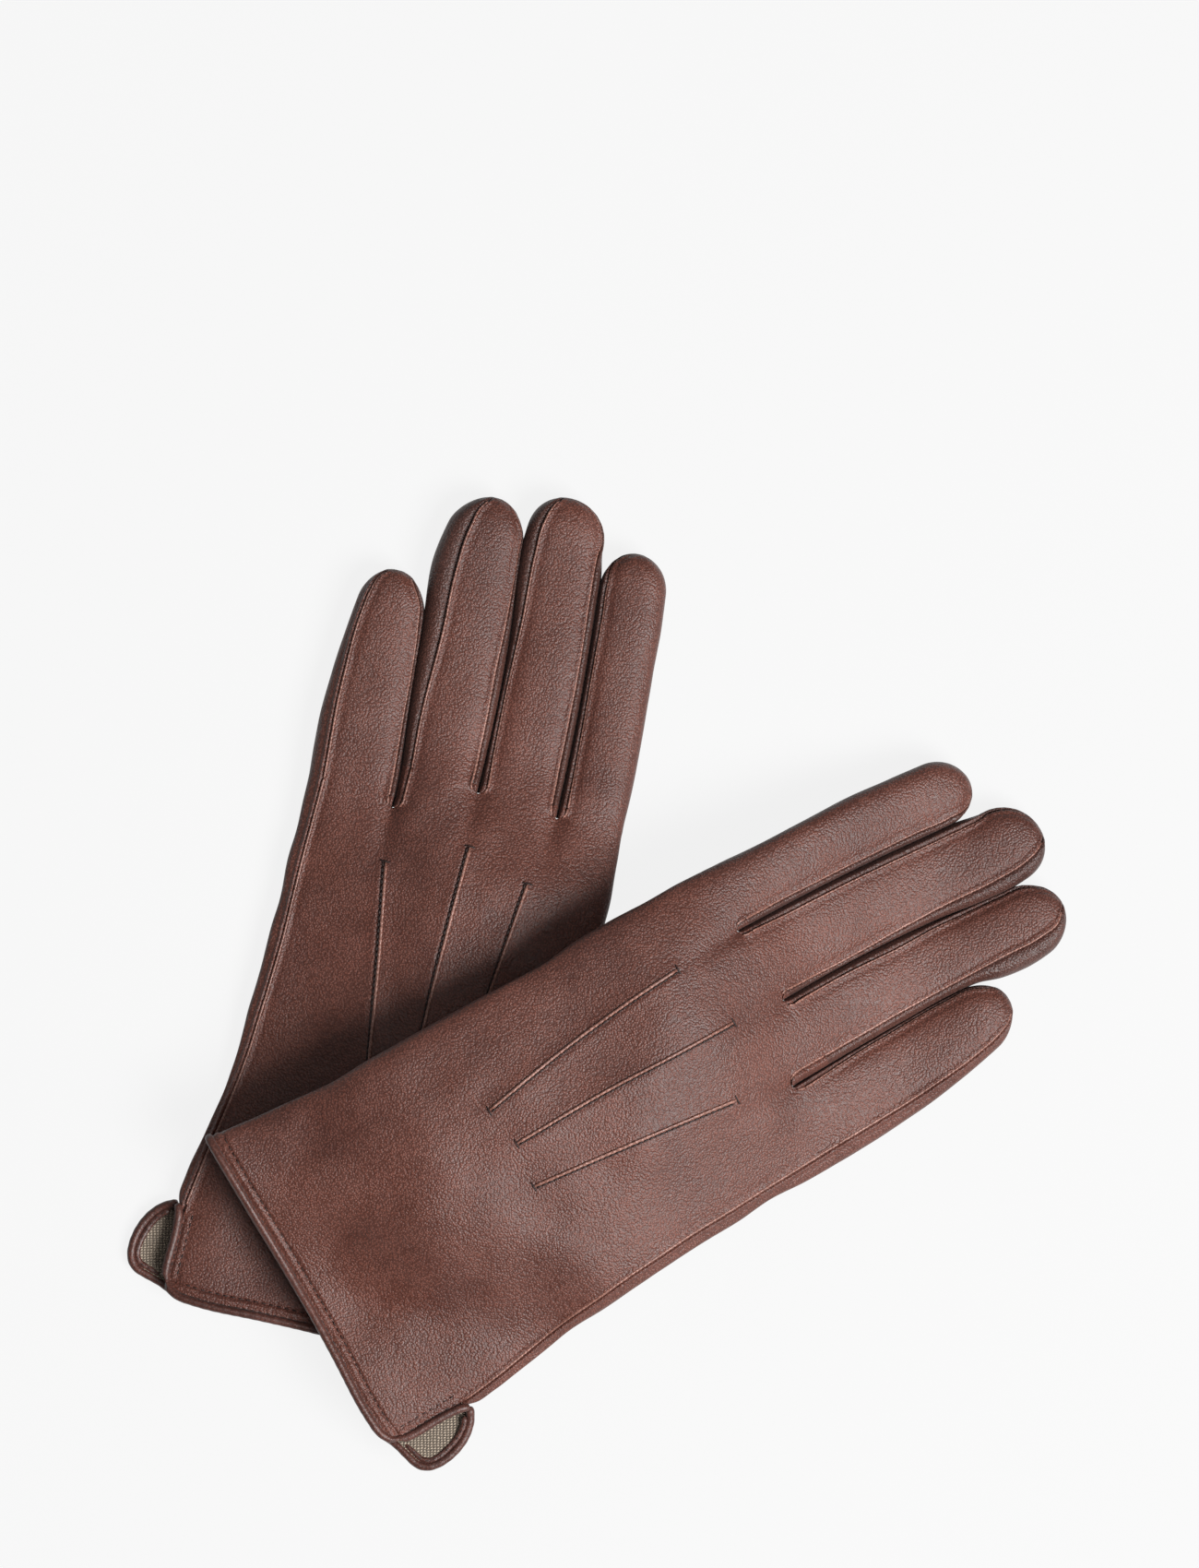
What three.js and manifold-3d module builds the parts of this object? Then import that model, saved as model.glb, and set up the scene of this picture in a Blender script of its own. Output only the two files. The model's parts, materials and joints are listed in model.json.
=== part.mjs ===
import * as THREE from "three";
import { mergeVertices } from "three/addons/utils/BufferGeometryUtils.js";
import Module from "manifold-3d";

// A pair of short leather dress gloves, laid back up, the right one across the cuff of the left one.
// One glove is drawn in its own frame: x across the hand, towards the index finger; y from the cuff
// edge to the fingertips; z up from the surface it lies on. The right glove is the mirror image.
// All sizes are in millimetres and degrees.

// Overall sizes of one glove.
const GLOVE_LENGTH = 242.7;
const HAND_WIDTH = 91;
const CUFF_THICKNESS = 10.5;
const KNUCKLE_THICKNESS = 12;
const FINGER_THICKNESS = 12.5;

// Material thicknesses and the room between neighbouring pieces.
const LEATHER = 1.0;
const LINING = 0.8;
const CLEARANCE = 0.3;
const LINING_CLEARANCE = 0.5;

// Thumb, tucked flat under the palm.
const THUMB_THICKNESS = 7.9;
const THUMB_WIDTH = 22;
const THUMB_REACH = 54;
const THUMB_HOLE_RADIUS = 9.7;

// Edges and trim.
const BINDING_WIDTH = 3;
const BINDING_THICKNESS = 1.2;
const VENT_LENGTH = 21.5;
const VENT_REACH = 11.5;
const SEAM_INSET = 3.6;
const FOURCHETTE_INSET = 3;
const POINT_WIDTH = 1.2;
const POINT_HEIGHT = 0.7;
const PAD_LENGTH = 16;

// How the pair lies.
const LEFT_TURN = -14.5;
const RIGHT_TURN = -59.8;
const RIGHT_OFFSET = new THREE.Vector2(-5.9, 15);
const PILE_GAP = 1.6;
const LEFT_STRETCH = 4;
const DRAPE_START = 20;
const DRAPE_END = 95;

// The pattern below is drawn for a glove of this length and width and is scaled to the sizes above.
const PATTERN_LENGTH = 242.7;
const PATTERN_WIDTH = 91;
const across = (x) => (x * HAND_WIDTH) / PATTERN_WIDTH;
const along = (y) => (y * GLOVE_LENGTH) / PATTERN_LENGTH;

// Hand outline: distance from the cuff, little-finger edge, index edge.
const HAND = [
  [0, -50.2, 50.6],
  [12, -49.9, 49.5],
  [24, -49.5, 48.5],
  [38, -48.9, 47.5],
  [52, -47.6, 46.9],
  [68, -45.7, 46.5],
  [84, -44.8, 46.4],
  [100, -44.3, 46.6],
  [116, -44.3, 46.7],
  [130, -44.4, 46.5],
  [144.5, -44.6, 46],
];
// The hand runs further up between the longer fingers than beside the little finger.
const CROTCH_STEP = 9.5;
// How far below its leather a finger's hinge line lies.
const HINGE_DROP = 0.8;
// How far the left cuff is folded in at its index edge, under the right glove.
const TUCK = 3.6;

// Finger outlines: distance from the cuff, little-finger side, index side; then the tip, how round
// it is, where the finger leaves the hand, and how far the left glove's finger leans. The left ring
// finger is also wider, because its side wall fills the room beside the little finger.
const FINGERS = {
  index: {
    edges: [
      [136, 28.4, 43.6],
      [158, 26.7, 45.3],
      [180, 25.7, 44],
      [200, 24.1, 42.5],
      [216, 22.6, 40.8],
      [232.3, 21.6, 38.8],
    ],
    tip: 232.3,
    round: 9.5,
    knuckle: 158,
    lean: 1.2,
  },
  middle: {
    edges: [
      [136, 5.6, 23.8],
      [158, 3.6, 25.8],
      [180, 2.9, 24.8],
      [200, 1.2, 23.2],
      [220, -1.4, 20.9],
      [242.7, -3, 18.6],
    ],
    tip: 242.7,
    round: 10.5,
    knuckle: 158,
    lean: 1.2,
  },
  ring: {
    edges: [
      [136, -16.8, 0.8],
      [158, -18.8, 2.7],
      [180, -19.2, 2],
      [198, -19.7, 0.6],
      [206, -20.6, -0.4],
      [212, -22.1, -1.4],
      [219, -23.6, -2.6],
      [237.6, -22.6, -3.9],
    ],
    leftEdges: [
      [136, -16.8, 0.8],
      [158, -18.8, 2.7],
      [172, -20.9, 2.3],
      [185, -22.3, 1.8],
      [199, -23.2, 0.5],
      [208, -25.2, -0.6],
      [215, -25.8, -1.9],
      [237.6, -23, -3.9],
    ],
    tip: 237.6,
    round: 10,
    knuckle: 158,
    lean: 1.2,
  },
  little: {
    edges: [
      [128, -42.6, -21.8],
      [149, -44.5, -19.8],
      [166, -44.2, -20],
      [182, -42.8, -20.2],
      [196, -40.6, -20.5],
      [211, -37.4, -20.9],
    ],
    tip: 211,
    round: 9.5,
    knuckle: 149,
    lean: -4.5,
  },
};

// Points on the back of the hand, from near the wrist to near the knuckles.
const POINTS = {
  right: {
    index: [
      [18.5, 70],
      [22.5, 95],
      [26, 135],
    ],
    middle: [
      [6.8, 72],
      [6.9, 100],
      [5.3, 141],
    ],
    little: [
      [-6, 70],
      [-9.5, 100],
      [-14, 131],
    ],
  },
  left: {
    index: [
      [16.5, 71],
      [19.2, 96],
      [23, 137.5],
    ],
    middle: [
      [4.6, 72],
      [4.2, 101],
      [4.8, 144],
    ],
    little: [
      [-7.5, 70],
      [-12, 101],
      [-17.3, 133.5],
    ],
  },
};

// Thumb: the centre of its hole in the palm, and the way it points, in degrees from the x axis.
const THUMB_CENTRE = [27, 70];
const THUMB_ANGLE = 95;

const HAND_SIDES = 16;
const FINGER_SIDES = 10;
const SQUARENESS = 2.6;

const LINED = LEATHER + LINING_CLEARANCE;
const INNER = LINED + LINING;
const THUMB_ROOM = THUMB_THICKNESS + 0.8;

const COLOURS = { leather: 0x5c3a32, trim: 0x4d302a, lining: 0x9c9285, pad: 0x4a3a36 };

const wasm = await Module();
wasm.setup();

// A closed geometry as a solid, its faces turned outwards.
function solid(geometry) {
  geometry.deleteAttribute("normal");
  geometry.deleteAttribute("uv");
  const merged = mergeVertices(geometry, 1e-4);
  const vertProperties = merged.attributes.position.array;
  const triVerts = new Uint32Array(merged.index.array);
  const made = new wasm.Manifold(new wasm.Mesh({ numProp: 3, vertProperties, triVerts }));
  if (made.volume() > 0) return made;
  return new wasm.Manifold(new wasm.Mesh({ numProp: 3, vertProperties, triVerts: triVerts.reverse() }));
}

function mesh(name, body, colour, roughness) {
  const found = body.getMesh();
  const places = new Float32Array(found.numVert * 3);
  for (let i = 0; i < found.numVert; i++) {
    places.set(found.vertProperties.subarray(i * found.numProp, i * found.numProp + 3), i * 3);
  }
  const geometry = new THREE.BufferGeometry();
  geometry.setAttribute("position", new THREE.BufferAttribute(places, 3));
  geometry.setIndex(new THREE.BufferAttribute(found.triVerts, 1));
  geometry.computeVertexNormals();
  const material = new THREE.MeshStandardMaterial({ color: colour, roughness, metalness: 0 });
  const made = new THREE.Mesh(geometry, material);
  made.name = name;
  return made;
}

// The largest of the separate bodies left by a cut; slivers are dropped.
function largest(body) {
  return body.decompose().reduce((best, b) => (b.volume() > best.volume() ? b : best));
}

const smooth = (low, high, v) => THREE.MathUtils.smoothstep(v, low, high);

// Rows of [y, low, high], interpolated by a monotone curve through the rows.
function between(rows, y, column) {
  let i = 0;
  while (i < rows.length - 2 && y > rows[i + 1][0]) i++;
  const slope = (k) => {
    const a = rows[Math.max(k - 1, 0)];
    const b = rows[Math.min(k + 1, rows.length - 1)];
    return (b[column] - a[column]) / (b[0] - a[0]);
  };
  const step = rows[i + 1][0] - rows[i][0];
  const t = (y - rows[i][0]) / step;
  if (t < 0 || t > 1) return rows[t < 0 ? i : i + 1][column];
  const a = rows[i][column];
  const b = rows[i + 1][column];
  const p = slope(i) * step;
  const q = slope(i + 1) * step;
  return a + p * t + (3 * (b - a) - 2 * p - q) * t * t + (2 * (a - b) + p + q) * t * t * t;
}

// A closed body through rings of equal length, its ends closed by a centre point.
function loft(rings, endPoint) {
  const sides = rings[0].length;
  const places = rings.flat();
  const faces = [];
  for (let r = 0; r < rings.length - 1; r++) {
    for (let k = 0; k < sides; k++) {
      const a = r * sides + k;
      const b = r * sides + ((k + 1) % sides);
      faces.push(a, a + sides, b, b, a + sides, b + sides);
    }
  }
  const middle = (ring) => ring.reduce((sum, p) => sum.add(p), new THREE.Vector3()).divideScalar(sides);
  const last = (rings.length - 1) * sides;
  places.push(middle(rings[0]), endPoint || middle(rings[rings.length - 1]));
  for (let k = 0; k < sides; k++) {
    const next = (k + 1) % sides;
    faces.push(places.length - 2, k, next);
    faces.push(places.length - 1, last + next, last + k);
  }
  const geometry = new THREE.BufferGeometry().setFromPoints(places);
  geometry.setIndex(faces);
  return solid(geometry);
}

// An upright prism over a closed outline.
function prism(outline, low, high) {
  const shape = new THREE.Shape(outline.map(([x, y]) => new THREE.Vector2(x, y)));
  const geometry = new THREE.ExtrudeGeometry(shape, { depth: high - low, bevelEnabled: false });
  geometry.translate(0, 0, low);
  return solid(geometry);
}

const FAR = 400;

function glove(side) {
  const isLeft = side === "left";
  const group = new THREE.Group();
  group.rotation.z = THREE.MathUtils.degToRad(isLeft ? LEFT_TURN : RIGHT_TURN);
  if (!isLeft) {
    group.scale.x = -1;
    group.position.set(RIGHT_OFFSET.x, RIGHT_OFFSET.y, 0);
  }
  group.updateMatrixWorld(true);

  // Height of the palm's underside above the surface: the thumb side lies on the tucked thumb.
  const overThumb = (x, y) => {
    const raised = smooth(along(22), along(50), y) * (1 - smooth(along(130), along(157), y));
    return THUMB_ROOM * raised * smooth(across(-30), across(-6), x);
  };
  // The right glove drapes over the left one and down to the surface beside it.
  const turn = new THREE.Matrix4().makeRotationZ(THREE.MathUtils.degToRad(-LEFT_TURN));
  const drape = (x, y) => {
    if (isLeft) return 0;
    const p = new THREE.Vector3(x, y, 0).applyMatrix4(group.matrixWorld).applyMatrix4(turn);
    const beyond = Math.hypot(Math.max(0, p.x - across(46)), Math.max(0, -3 - p.y));
    const top = Math.max(CUFF_THICKNESS, KNUCKLE_THICKNESS, FINGER_THICKNESS);
    const pile = top + PILE_GAP + THUMB_ROOM * smooth(along(12), along(46), p.y);
    return pile * (1 - smooth(DRAPE_START, DRAPE_END, beyond));
  };
  const lift = (x, y) => overThumb(x, y) + drape(x, y);

  // One ring of a padded cross-section between two edges, shrunk by an inset all round. Every inset
  // is lifted and skewed as the outermost ring is, so that nested rings stay the same way apart.
  function ring(y, low, high, thick, inset, sides, taper = 1, back = 0, skew = () => 0) {
    const middle = (low + high) / 2;
    const share = 1 - inset / ((high - low) / 2);
    const half = ((high - low) / 2) * taper;
    const tall = (thick / 2 - inset) * Math.sqrt(taper);
    const points = [];
    for (let k = 0; k < sides; k++) {
      const angle = (2 * Math.PI * k) / sides;
      const power = (v) => Math.sign(v) * Math.abs(v) ** (2 / SQUARENESS);
      const x = half * power(Math.cos(angle));
      const up = Math.max(-1, Math.min(1, 1.06 * power(Math.sin(angle))));
      const place = y + skew(middle + x);
      points.push(
        new THREE.Vector3(middle + x * share, place - back, thick / 2 + tall * up + lift(middle + x, place)),
      );
    }
    return points.reverse();
  }

  const thicker = KNUCKLE_THICKNESS - CUFF_THICKNESS;
  const handThick = (y) => CUFF_THICKNESS + thicker * smooth(along(40), along(140), y);

  const tuck = (y) => (isLeft ? TUCK * (1 - smooth(along(6), along(60), y)) : 0);
  const outline = HAND.map(([y, low, high]) => [y, low, high - tuck(along(y))]);
  // The hand starts below the cuff edge and is cut off there.
  function hand(inset) {
    const rings = outline.map(([y, low, high], i) => {
      const back = i === HAND.length - 1 ? inset : 0;
      const place = i === 0 ? -6 : along(y);
      const share = i < HAND.length - 3 ? 0 : (i - HAND.length + 3) / 2;
      const skew = (x) => along(CROTCH_STEP) * share * smooth(across(-22), across(-4), x);
      return ring(place, across(low), across(high), handThick(place), inset, HAND_SIDES, 1, back, skew);
    });
    return loft(rings);
  }

  const fingers = Object.entries(FINGERS).map(([name, f]) => {
    const stretch = isLeft ? LEFT_STRETCH : 0;
    const reach = (y) => along(y) + stretch * smooth(f.knuckle, f.tip, y);
    const lean = (y) => (isLeft ? (f.lean * Math.max(0, y - f.knuckle)) / (f.tip - f.knuckle) : 0);
    const edges = (isLeft && f.leftEdges) || f.edges;
    const edge = (y, column) => across(between(edges, y, column)) + lean(y);
    return { name, ...f, edges, reach, edge };
  });

  function finger(f, inset) {
    const start = f.edges[0][0];
    const straight = f.tip - f.round;
    const middles = f.edges.map(([y]) => y).filter((y) => y > f.knuckle && y < straight - 2);
    const ys = [start, f.knuckle, ...middles, straight];
    const root = handThick(0) * 0.9;
    const thick = (y) => root + (FINGER_THICKNESS - root) * smooth(start, f.knuckle, y);
    const section = (y) => ring(f.reach(y), f.edge(y, 1), f.edge(y, 2), thick(y), inset, FINGER_SIDES);
    const rings = ys.map(section);
    const radius = along(f.tip) - along(straight);
    for (const angle of [38, 68]) {
      const a = THREE.MathUtils.degToRad(angle);
      const y = straight + f.round * Math.sin(a);
      const place = f.reach(straight) + radius * Math.sin(a);
      const back = inset * Math.sin(a);
      rings.push(
        ring(place, f.edge(y, 1), f.edge(y, 2), FINGER_THICKNESS, inset, FINGER_SIDES, Math.cos(a), back),
      );
    }
    const tipX = (f.edge(f.tip, 1) + f.edge(f.tip, 2)) / 2;
    const tipY = f.reach(straight) + radius;
    return loft(rings, new THREE.Vector3(tipX, tipY - inset, FINGER_THICKNESS / 2 + lift(tipX, tipY)));
  }

  // The side of a finger: everything beyond its inset edge on one side, as an upright prism.
  function sideOf(f, column, inset, from) {
    const sign = column === 1 ? 1 : -1;
    const stops = [from, 176, 190, 203, 216, f.tip, f.tip + 15];
    const ys = stops.filter((y, i) => i === 0 || y > stops[i - 1]);
    const line = ys.map((y) => [f.edge(Math.min(y, f.tip), column) + sign * inset, f.reach(y)]);
    const outside = f.edge(f.knuckle, column) - sign * 30;
    return prism([...line, [outside, line[line.length - 1][1]], [outside, line[0][1]]], -20, 90);
  }

  function box(x0, x1, y0, y1, z0, z1) {
    const geometry = new THREE.BoxGeometry(x1 - x0, y1 - y0, z1 - z0);
    return solid(geometry.translate((x0 + x1) / 2, (y0 + y1) / 2, (z0 + z1) / 2));
  }

  // A thin cut halfway up a finger, from its base to beyond its tip, and a solid above that cut.
  function above(f, gap) {
    const middle = (y) => {
      const x = (f.edge(y, 1) + f.edge(y, 2)) / 2;
      return FINGER_THICKNESS / 2 + lift(x, f.reach(y));
    };
    const from = new THREE.Vector2(f.reach(f.knuckle), middle(f.knuckle));
    const to = new THREE.Vector2(f.reach(f.tip), middle(f.tip));
    const slant = Math.atan2(to.y - from.y, to.x - from.x);
    const geometry = new THREE.BoxGeometry(FAR, FAR, 60);
    geometry.translate(0, 0, 30 + gap / 2);
    geometry.rotateX(slant);
    geometry.translate(0, to.x, to.y);
    return solid(geometry);
  }
  function below(f, gap) {
    return box(-FAR, FAR, -FAR, FAR, -60, 120).subtract(above(f, -gap));
  }

  const leather = [COLOURS.leather, 0.55];
  function add(name, body, colour, roughness) {
    group.add(mesh(side + "_" + name, largest(body), colour, roughness));
  }

  // Thumb hole and thumb. The neck goes up through the hole into the hand.
  const [holeX, holeY] = [across(THUMB_CENTRE[0]), along(THUMB_CENTRE[1])];
  const thumbLift = isLeft ? 0 : drape(holeX, holeY);
  const neckTop = THUMB_ROOM + INNER + 0.2;
  const column = (radius, low, high) => {
    const geometry = new THREE.CylinderGeometry(radius, radius, high - low, 24);
    geometry.rotateX(Math.PI / 2);
    return solid(geometry.translate(holeX, holeY, (low + high) / 2 + thumbLift));
  };
  function thumb(inset) {
    const rings = [];
    const radius = THUMB_WIDTH / 2;
    const half = radius - inset;
    const tall = THUMB_THICKNESS / 2 - inset;
    const spots = [-70, -38, 0, 1, 2, 38, 70];
    for (const spot of spots) {
      const a = THREE.MathUtils.degToRad(Math.abs(spot) > 2 ? spot : 0);
      const far = spot >= 1;
      const shrink = far ? 0.88 : 1;
      const base = far ? THUMB_REACH - radius * shrink : 0;
      const place = (spot === 1 ? base * 0.5 : base) + half * shrink * Math.sin(a);
      const points = [];
      for (let k = 0; k < FINGER_SIDES; k++) {
        const angle = (2 * Math.PI * k) / FINGER_SIDES;
        const power = (v) => Math.sign(v) * Math.abs(v) ** (2 / SQUARENESS);
        const x = half * shrink * Math.cos(a) * power(Math.cos(angle));
        const z = Math.max(-1, Math.min(1, 1.06 * power(Math.sin(angle)))) * tall * Math.sqrt(Math.cos(a));
        points.push(new THREE.Vector3(x, place, THUMB_THICKNESS / 2 + z));
      }
      rings.push(points.reverse());
    }
    const turned = new THREE.Matrix4().makeRotationZ(THREE.MathUtils.degToRad(THUMB_ANGLE - 90));
    turned.setPosition(holeX, holeY, thumbLift);
    for (const p of rings.flat()) p.applyMatrix4(turned);
    return loft(rings);
  }
  const holeRadius = (inset) => THUMB_HOLE_RADIUS - inset;
  const neckBottom = THUMB_THICKNESS / 2;
  const thumbSkin = thumb(0)
    .add(column(holeRadius(0), neckBottom, THUMB_ROOM + LEATHER))
    .subtract(thumb(LEATHER))
    .subtract(column(holeRadius(LEATHER), neckBottom, 60));
  const thumbLining = thumb(LINED)
    .add(column(holeRadius(LINED), neckBottom, neckTop))
    .subtract(thumb(INNER))
    .subtract(column(holeRadius(INNER), neckBottom, 60));

  // Hand: outer and inner surfaces with the finger roots joined on.
  const outer = fingers.map((f) => finger(f, 0));
  const inner = fingers.map((f) => finger(f, LEATHER));
  const lined = fingers.map((f) => finger(f, LINED));
  const hollow = fingers.map((f) => finger(f, INNER));
  const gap = CLEARANCE / 2;
  const root = (f, cut) => box(-FAR, FAR, -FAR, f.reach(f.knuckle) - cut, -20, 120);
  const beyond = (f, cut) => box(-FAR, FAR, f.reach(f.knuckle) + cut, FAR, -20, 120);
  const joined = (start, list, cut) =>
    fingers.reduce((sum, f, i) => sum.add(cut === null ? list[i] : list[i].intersect(root(f, cut))), start);

  // Side vent: the wall between back and palm is cut away below the side seam.
  const ventTop = along(VENT_LENGTH);
  const ventEdge = across(-50.2);
  const ventHigh = CUFF_THICKNESS - INNER - CLEARANCE;
  const ventMiddle = drape(ventEdge, ventTop / 2);
  // The cut keeps the palm side flat up to a height, so that its lip can lie there.
  const vent = (keep, grow) =>
    box(ventEdge - 20, ventEdge + 5.5 + grow, -10, ventTop + grow, keep, ventHigh + grow)
      .add(box(ventEdge - 20, ventEdge + 20, -10, ventTop + grow, keep, keep + 2.6))
      .translate(0, 0, ventMiddle);
  // The palm lip of the vent swells out past the back lip.
  const lipCurve = (reach, inset, steps) => {
    const rows = [];
    for (let k = 0; k <= steps; k++) {
      const t = k / steps;
      const y = inset + (ventTop - 2 * inset) * t;
      rows.push([ventEdge + 2.5 - (reach - inset) * Math.sin(Math.PI * t) ** 0.45 - 1.5, y]);
    }
    return rows;
  };
  const lip = (low, high, inset, join) => {
    const rows = lipCurve(VENT_REACH, inset, 12);
    const rings = rows.map(([x, y]) =>
      [
        [x, low],
        [ventEdge + join, low],
        [ventEdge + join, high],
        [x, high],
      ].map(([px, pz]) => new THREE.Vector3(px, y, pz + drape(px, y))),
    );
    return loft(rings.map((r) => r.reverse()));
  };

  const upper = (x, y) => handThick(y) / 2 + lift(x, y);
  // The seam only cuts the upper side, so its prism is trimmed to the half above the hand's middle.
  const seamCut = () => {
    const rows = HAND.map(([y, low]) => [across(low) + SEAM_INSET, along(y)]);
    rows[rows.length - 1][1] = along(FINGERS.little.knuckle + 2);
    const rings = rows.map(([x, y]) =>
      [
        [x, upper(x, y)],
        [x + CLEARANCE, upper(x, y)],
        [x + CLEARANCE, upper(x, y) + 20],
        [x, upper(x, y) + 20],
      ].map(([px, pz]) => new THREE.Vector3(px, y, pz)),
    );
    return loft(rings.map((r) => r.reverse()));
  };

  const cuffEnd = box(-FAR, FAR, -FAR, 0, -20, 120);
  const palmHole = column(holeRadius(0) + CLEARANCE, 2, THUMB_ROOM + handThick(holeY) / 2);
  const trank = joined(hand(0), outer, gap)
    .subtract(joined(hand(LEATHER), inner, null))
    .subtract(vent(LEATHER, 0))
    .add(lip(0, LEATHER, 0, 22).subtract(hand(LEATHER)))
    .subtract(seamCut())
    .subtract(palmHole)
    .subtract(cuffEnd);
  add("trank", trank, ...leather);

  const liningHole = column(holeRadius(LINED) + CLEARANCE, 2, THUMB_ROOM + handThick(holeY) / 2);
  const handLining = joined(hand(LINED), lined, gap)
    .subtract(joined(hand(INNER), hollow, null))
    .subtract(vent(INNER, 0))
    .add(lip(LINED, INNER, 0.9, 19.7).subtract(hand(INNER)))
    .subtract(liningHole)
    .subtract(cuffEnd);
  add("hand_lining", handLining, COLOURS.lining, 0.95);

  // Fingers, cut into their strips.
  fingers.forEach((f, i) => {
    const shell = outer[i].subtract(inner[i]).intersect(beyond(f, gap));
    const from = f.knuckle - 6;
    const strip = f.name + "_fourchette";
    const littleSide = (inset) => sideOf(f, 1, inset, from);
    const indexSide = (inset) => sideOf(f, 2, inset, from);
    const wallInset = FOURCHETTE_INSET;
    const open = wallInset + CLEARANCE;
    if (f.name === "index") {
      let wrap = shell.subtract(littleSide(open));
      const padFrom = f.reach(f.tip) - PAD_LENGTH - 5;
      const xs = [f.edge(f.tip - 14, 1) + 5, f.edge(f.tip - 14, 2) - 4];
      const low = lift((xs[0] + xs[1]) / 2, padFrom + PAD_LENGTH / 2);
      const opening = (room) =>
        box(xs[0] - room, xs[1] + room, padFrom - room, padFrom + PAD_LENGTH + room, low - 6, low + 4);
      const pad = wrap.intersect(opening(0));
      wrap = wrap.subtract(opening(CLEARANCE));
      add("index_wrap", wrap, ...leather);
      add("index_touch_pad", pad, COLOURS.pad, 0.5);
      add(strip, shell.intersect(littleSide(wallInset)), ...leather);
    } else {
      const core = shell.subtract(littleSide(f.name === "little" ? SEAM_INSET + CLEARANCE : open));
      const back = core.subtract(indexSide(open)).intersect(above(f, CLEARANCE));
      add(f.name + "_back", back, ...leather);
      if (f.name === "little") {
        const palm = shell.subtract(indexSide(open));
        const kept = palm.intersect(below(f, CLEARANCE)).add(palm.intersect(littleSide(SEAM_INSET)));
        add("little_palm", kept, ...leather);
        add(strip, shell.intersect(indexSide(wallInset)), ...leather);
      } else {
        const palm = core.subtract(indexSide(open)).intersect(below(f, CLEARANCE));
        add(f.name + "_palm", palm, ...leather);
        add(strip + "_index_side", shell.intersect(indexSide(wallInset)), ...leather);
        add(strip + "_little_side", shell.intersect(littleSide(wallInset)), ...leather);
      }
    }
    add(f.name + "_lining", lined[i].subtract(hollow[i]).intersect(beyond(f, gap)), COLOURS.lining, 0.95);
  });

  // Touch pad let into the side of the thumb tip that faces the surface.
  const thumbPad = (room) => {
    const length = PAD_LENGTH * 0.75;
    const geometry = new THREE.BoxGeometry(length + 2 * room, 11 + 2 * room, THUMB_THICKNESS * 0.8);
    geometry.translate(THUMB_REACH - length, 0, 0);
    geometry.rotateZ(THREE.MathUtils.degToRad(THUMB_ANGLE));
    return solid(geometry.translate(holeX, holeY, thumbLift));
  };
  add("thumb_piece", thumbSkin.subtract(thumbPad(CLEARANCE)), ...leather);
  add("thumb_touch_pad", thumbSkin.intersect(thumbPad(0)), COLOURS.pad, 0.5);
  add("thumb_lining", thumbLining, COLOURS.lining, 0.95);

  // Points: ridges that follow the back of the hand.
  const topOf = (x, y) => {
    const low = across(between(HAND, y, 1));
    const high = across(between(outline, y, 2));
    const share = Math.abs((x - (low + high) / 2) / ((high - low) / 2));
    const up = Math.min(1, 1.06 * (1 - share ** SQUARENESS) ** (1 / SQUARENESS));
    return handThick(y) / 2 + (handThick(y) / 2) * up + lift(x, y);
  };
  for (const [name, rows] of Object.entries(POINTS[side])) {
    const places = rows.map(([x, y]) => new THREE.Vector3(across(x), along(y), 0));
    const curve = new THREE.CatmullRomCurve3(places);
    const rings = [];
    for (let k = 0; k <= 12; k++) {
      const p = curve.getPoint(k / 12);
      const half = POINT_WIDTH / 2;
      const low = topOf(p.x, p.y) + CLEARANCE + 0.25;
      rings.push(
        [
          [p.x + half, low],
          [p.x + half * 0.6, low + POINT_HEIGHT],
          [p.x - half * 0.6, low + POINT_HEIGHT],
          [p.x - half, low],
        ].map(([px, pz]) => new THREE.Vector3(px, p.y, pz)).reverse(),
      );
    }
    add("point_" + name, loft(rings), COLOURS.trim, 0.5);
  }

  // Cuff binding: a rolled edge that closes the ends of leather and lining round the opening.
  const bindingOuter = hand(0);
  const bindingInner = hand(INNER + 0.2);
  const rim = box(-FAR, FAR, -BINDING_WIDTH + 0.4, -CLEARANCE, -20, 120);
  const cuffBinding = bindingOuter.subtract(bindingInner).intersect(rim).subtract(vent(LEATHER, 1.2));
  add("cuff_binding", cuffBinding, COLOURS.trim, 0.5);

  // Vent bindings: a strip along the back lip, and one round the swollen palm lip.
  const backBar = box(
    ventEdge + 1.2,
    ventEdge + 1.2 + 2.2,
    1.5,
    ventTop - 1,
    ventHigh - BINDING_THICKNESS - CLEARANCE,
    ventHigh - CLEARANCE - 0.1,
  ).translate(0, 0, ventMiddle);
  add("vent_binding_back", backBar, COLOURS.trim, 0.5);
  const rows = lipCurve(VENT_REACH, 0, 12);
  const lipRings = rows.map(([x, y], i) => {
    const before = rows[Math.max(i - 1, 0)];
    const after = rows[Math.min(i + 1, rows.length - 1)];
    const way = new THREE.Vector2(after[0] - before[0], after[1] - before[1]).normalize();
    const out = new THREE.Vector2(-way.y, way.x);
    return [
      [CLEARANCE + 0.1, 0],
      [CLEARANCE + 0.1 + 1.6, 0],
      [CLEARANCE + 0.1 + 1.6, BINDING_THICKNESS + 1],
      [CLEARANCE + 0.1, BINDING_THICKNESS + 1],
    ].map(([r, z]) => {
      const px = x + out.x * r;
      const py = y + out.y * r;
      return new THREE.Vector3(px, py, z + drape(px, py));
    });
  });
  add("vent_binding_palm", loft(lipRings), COLOURS.trim, 0.5);

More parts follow.
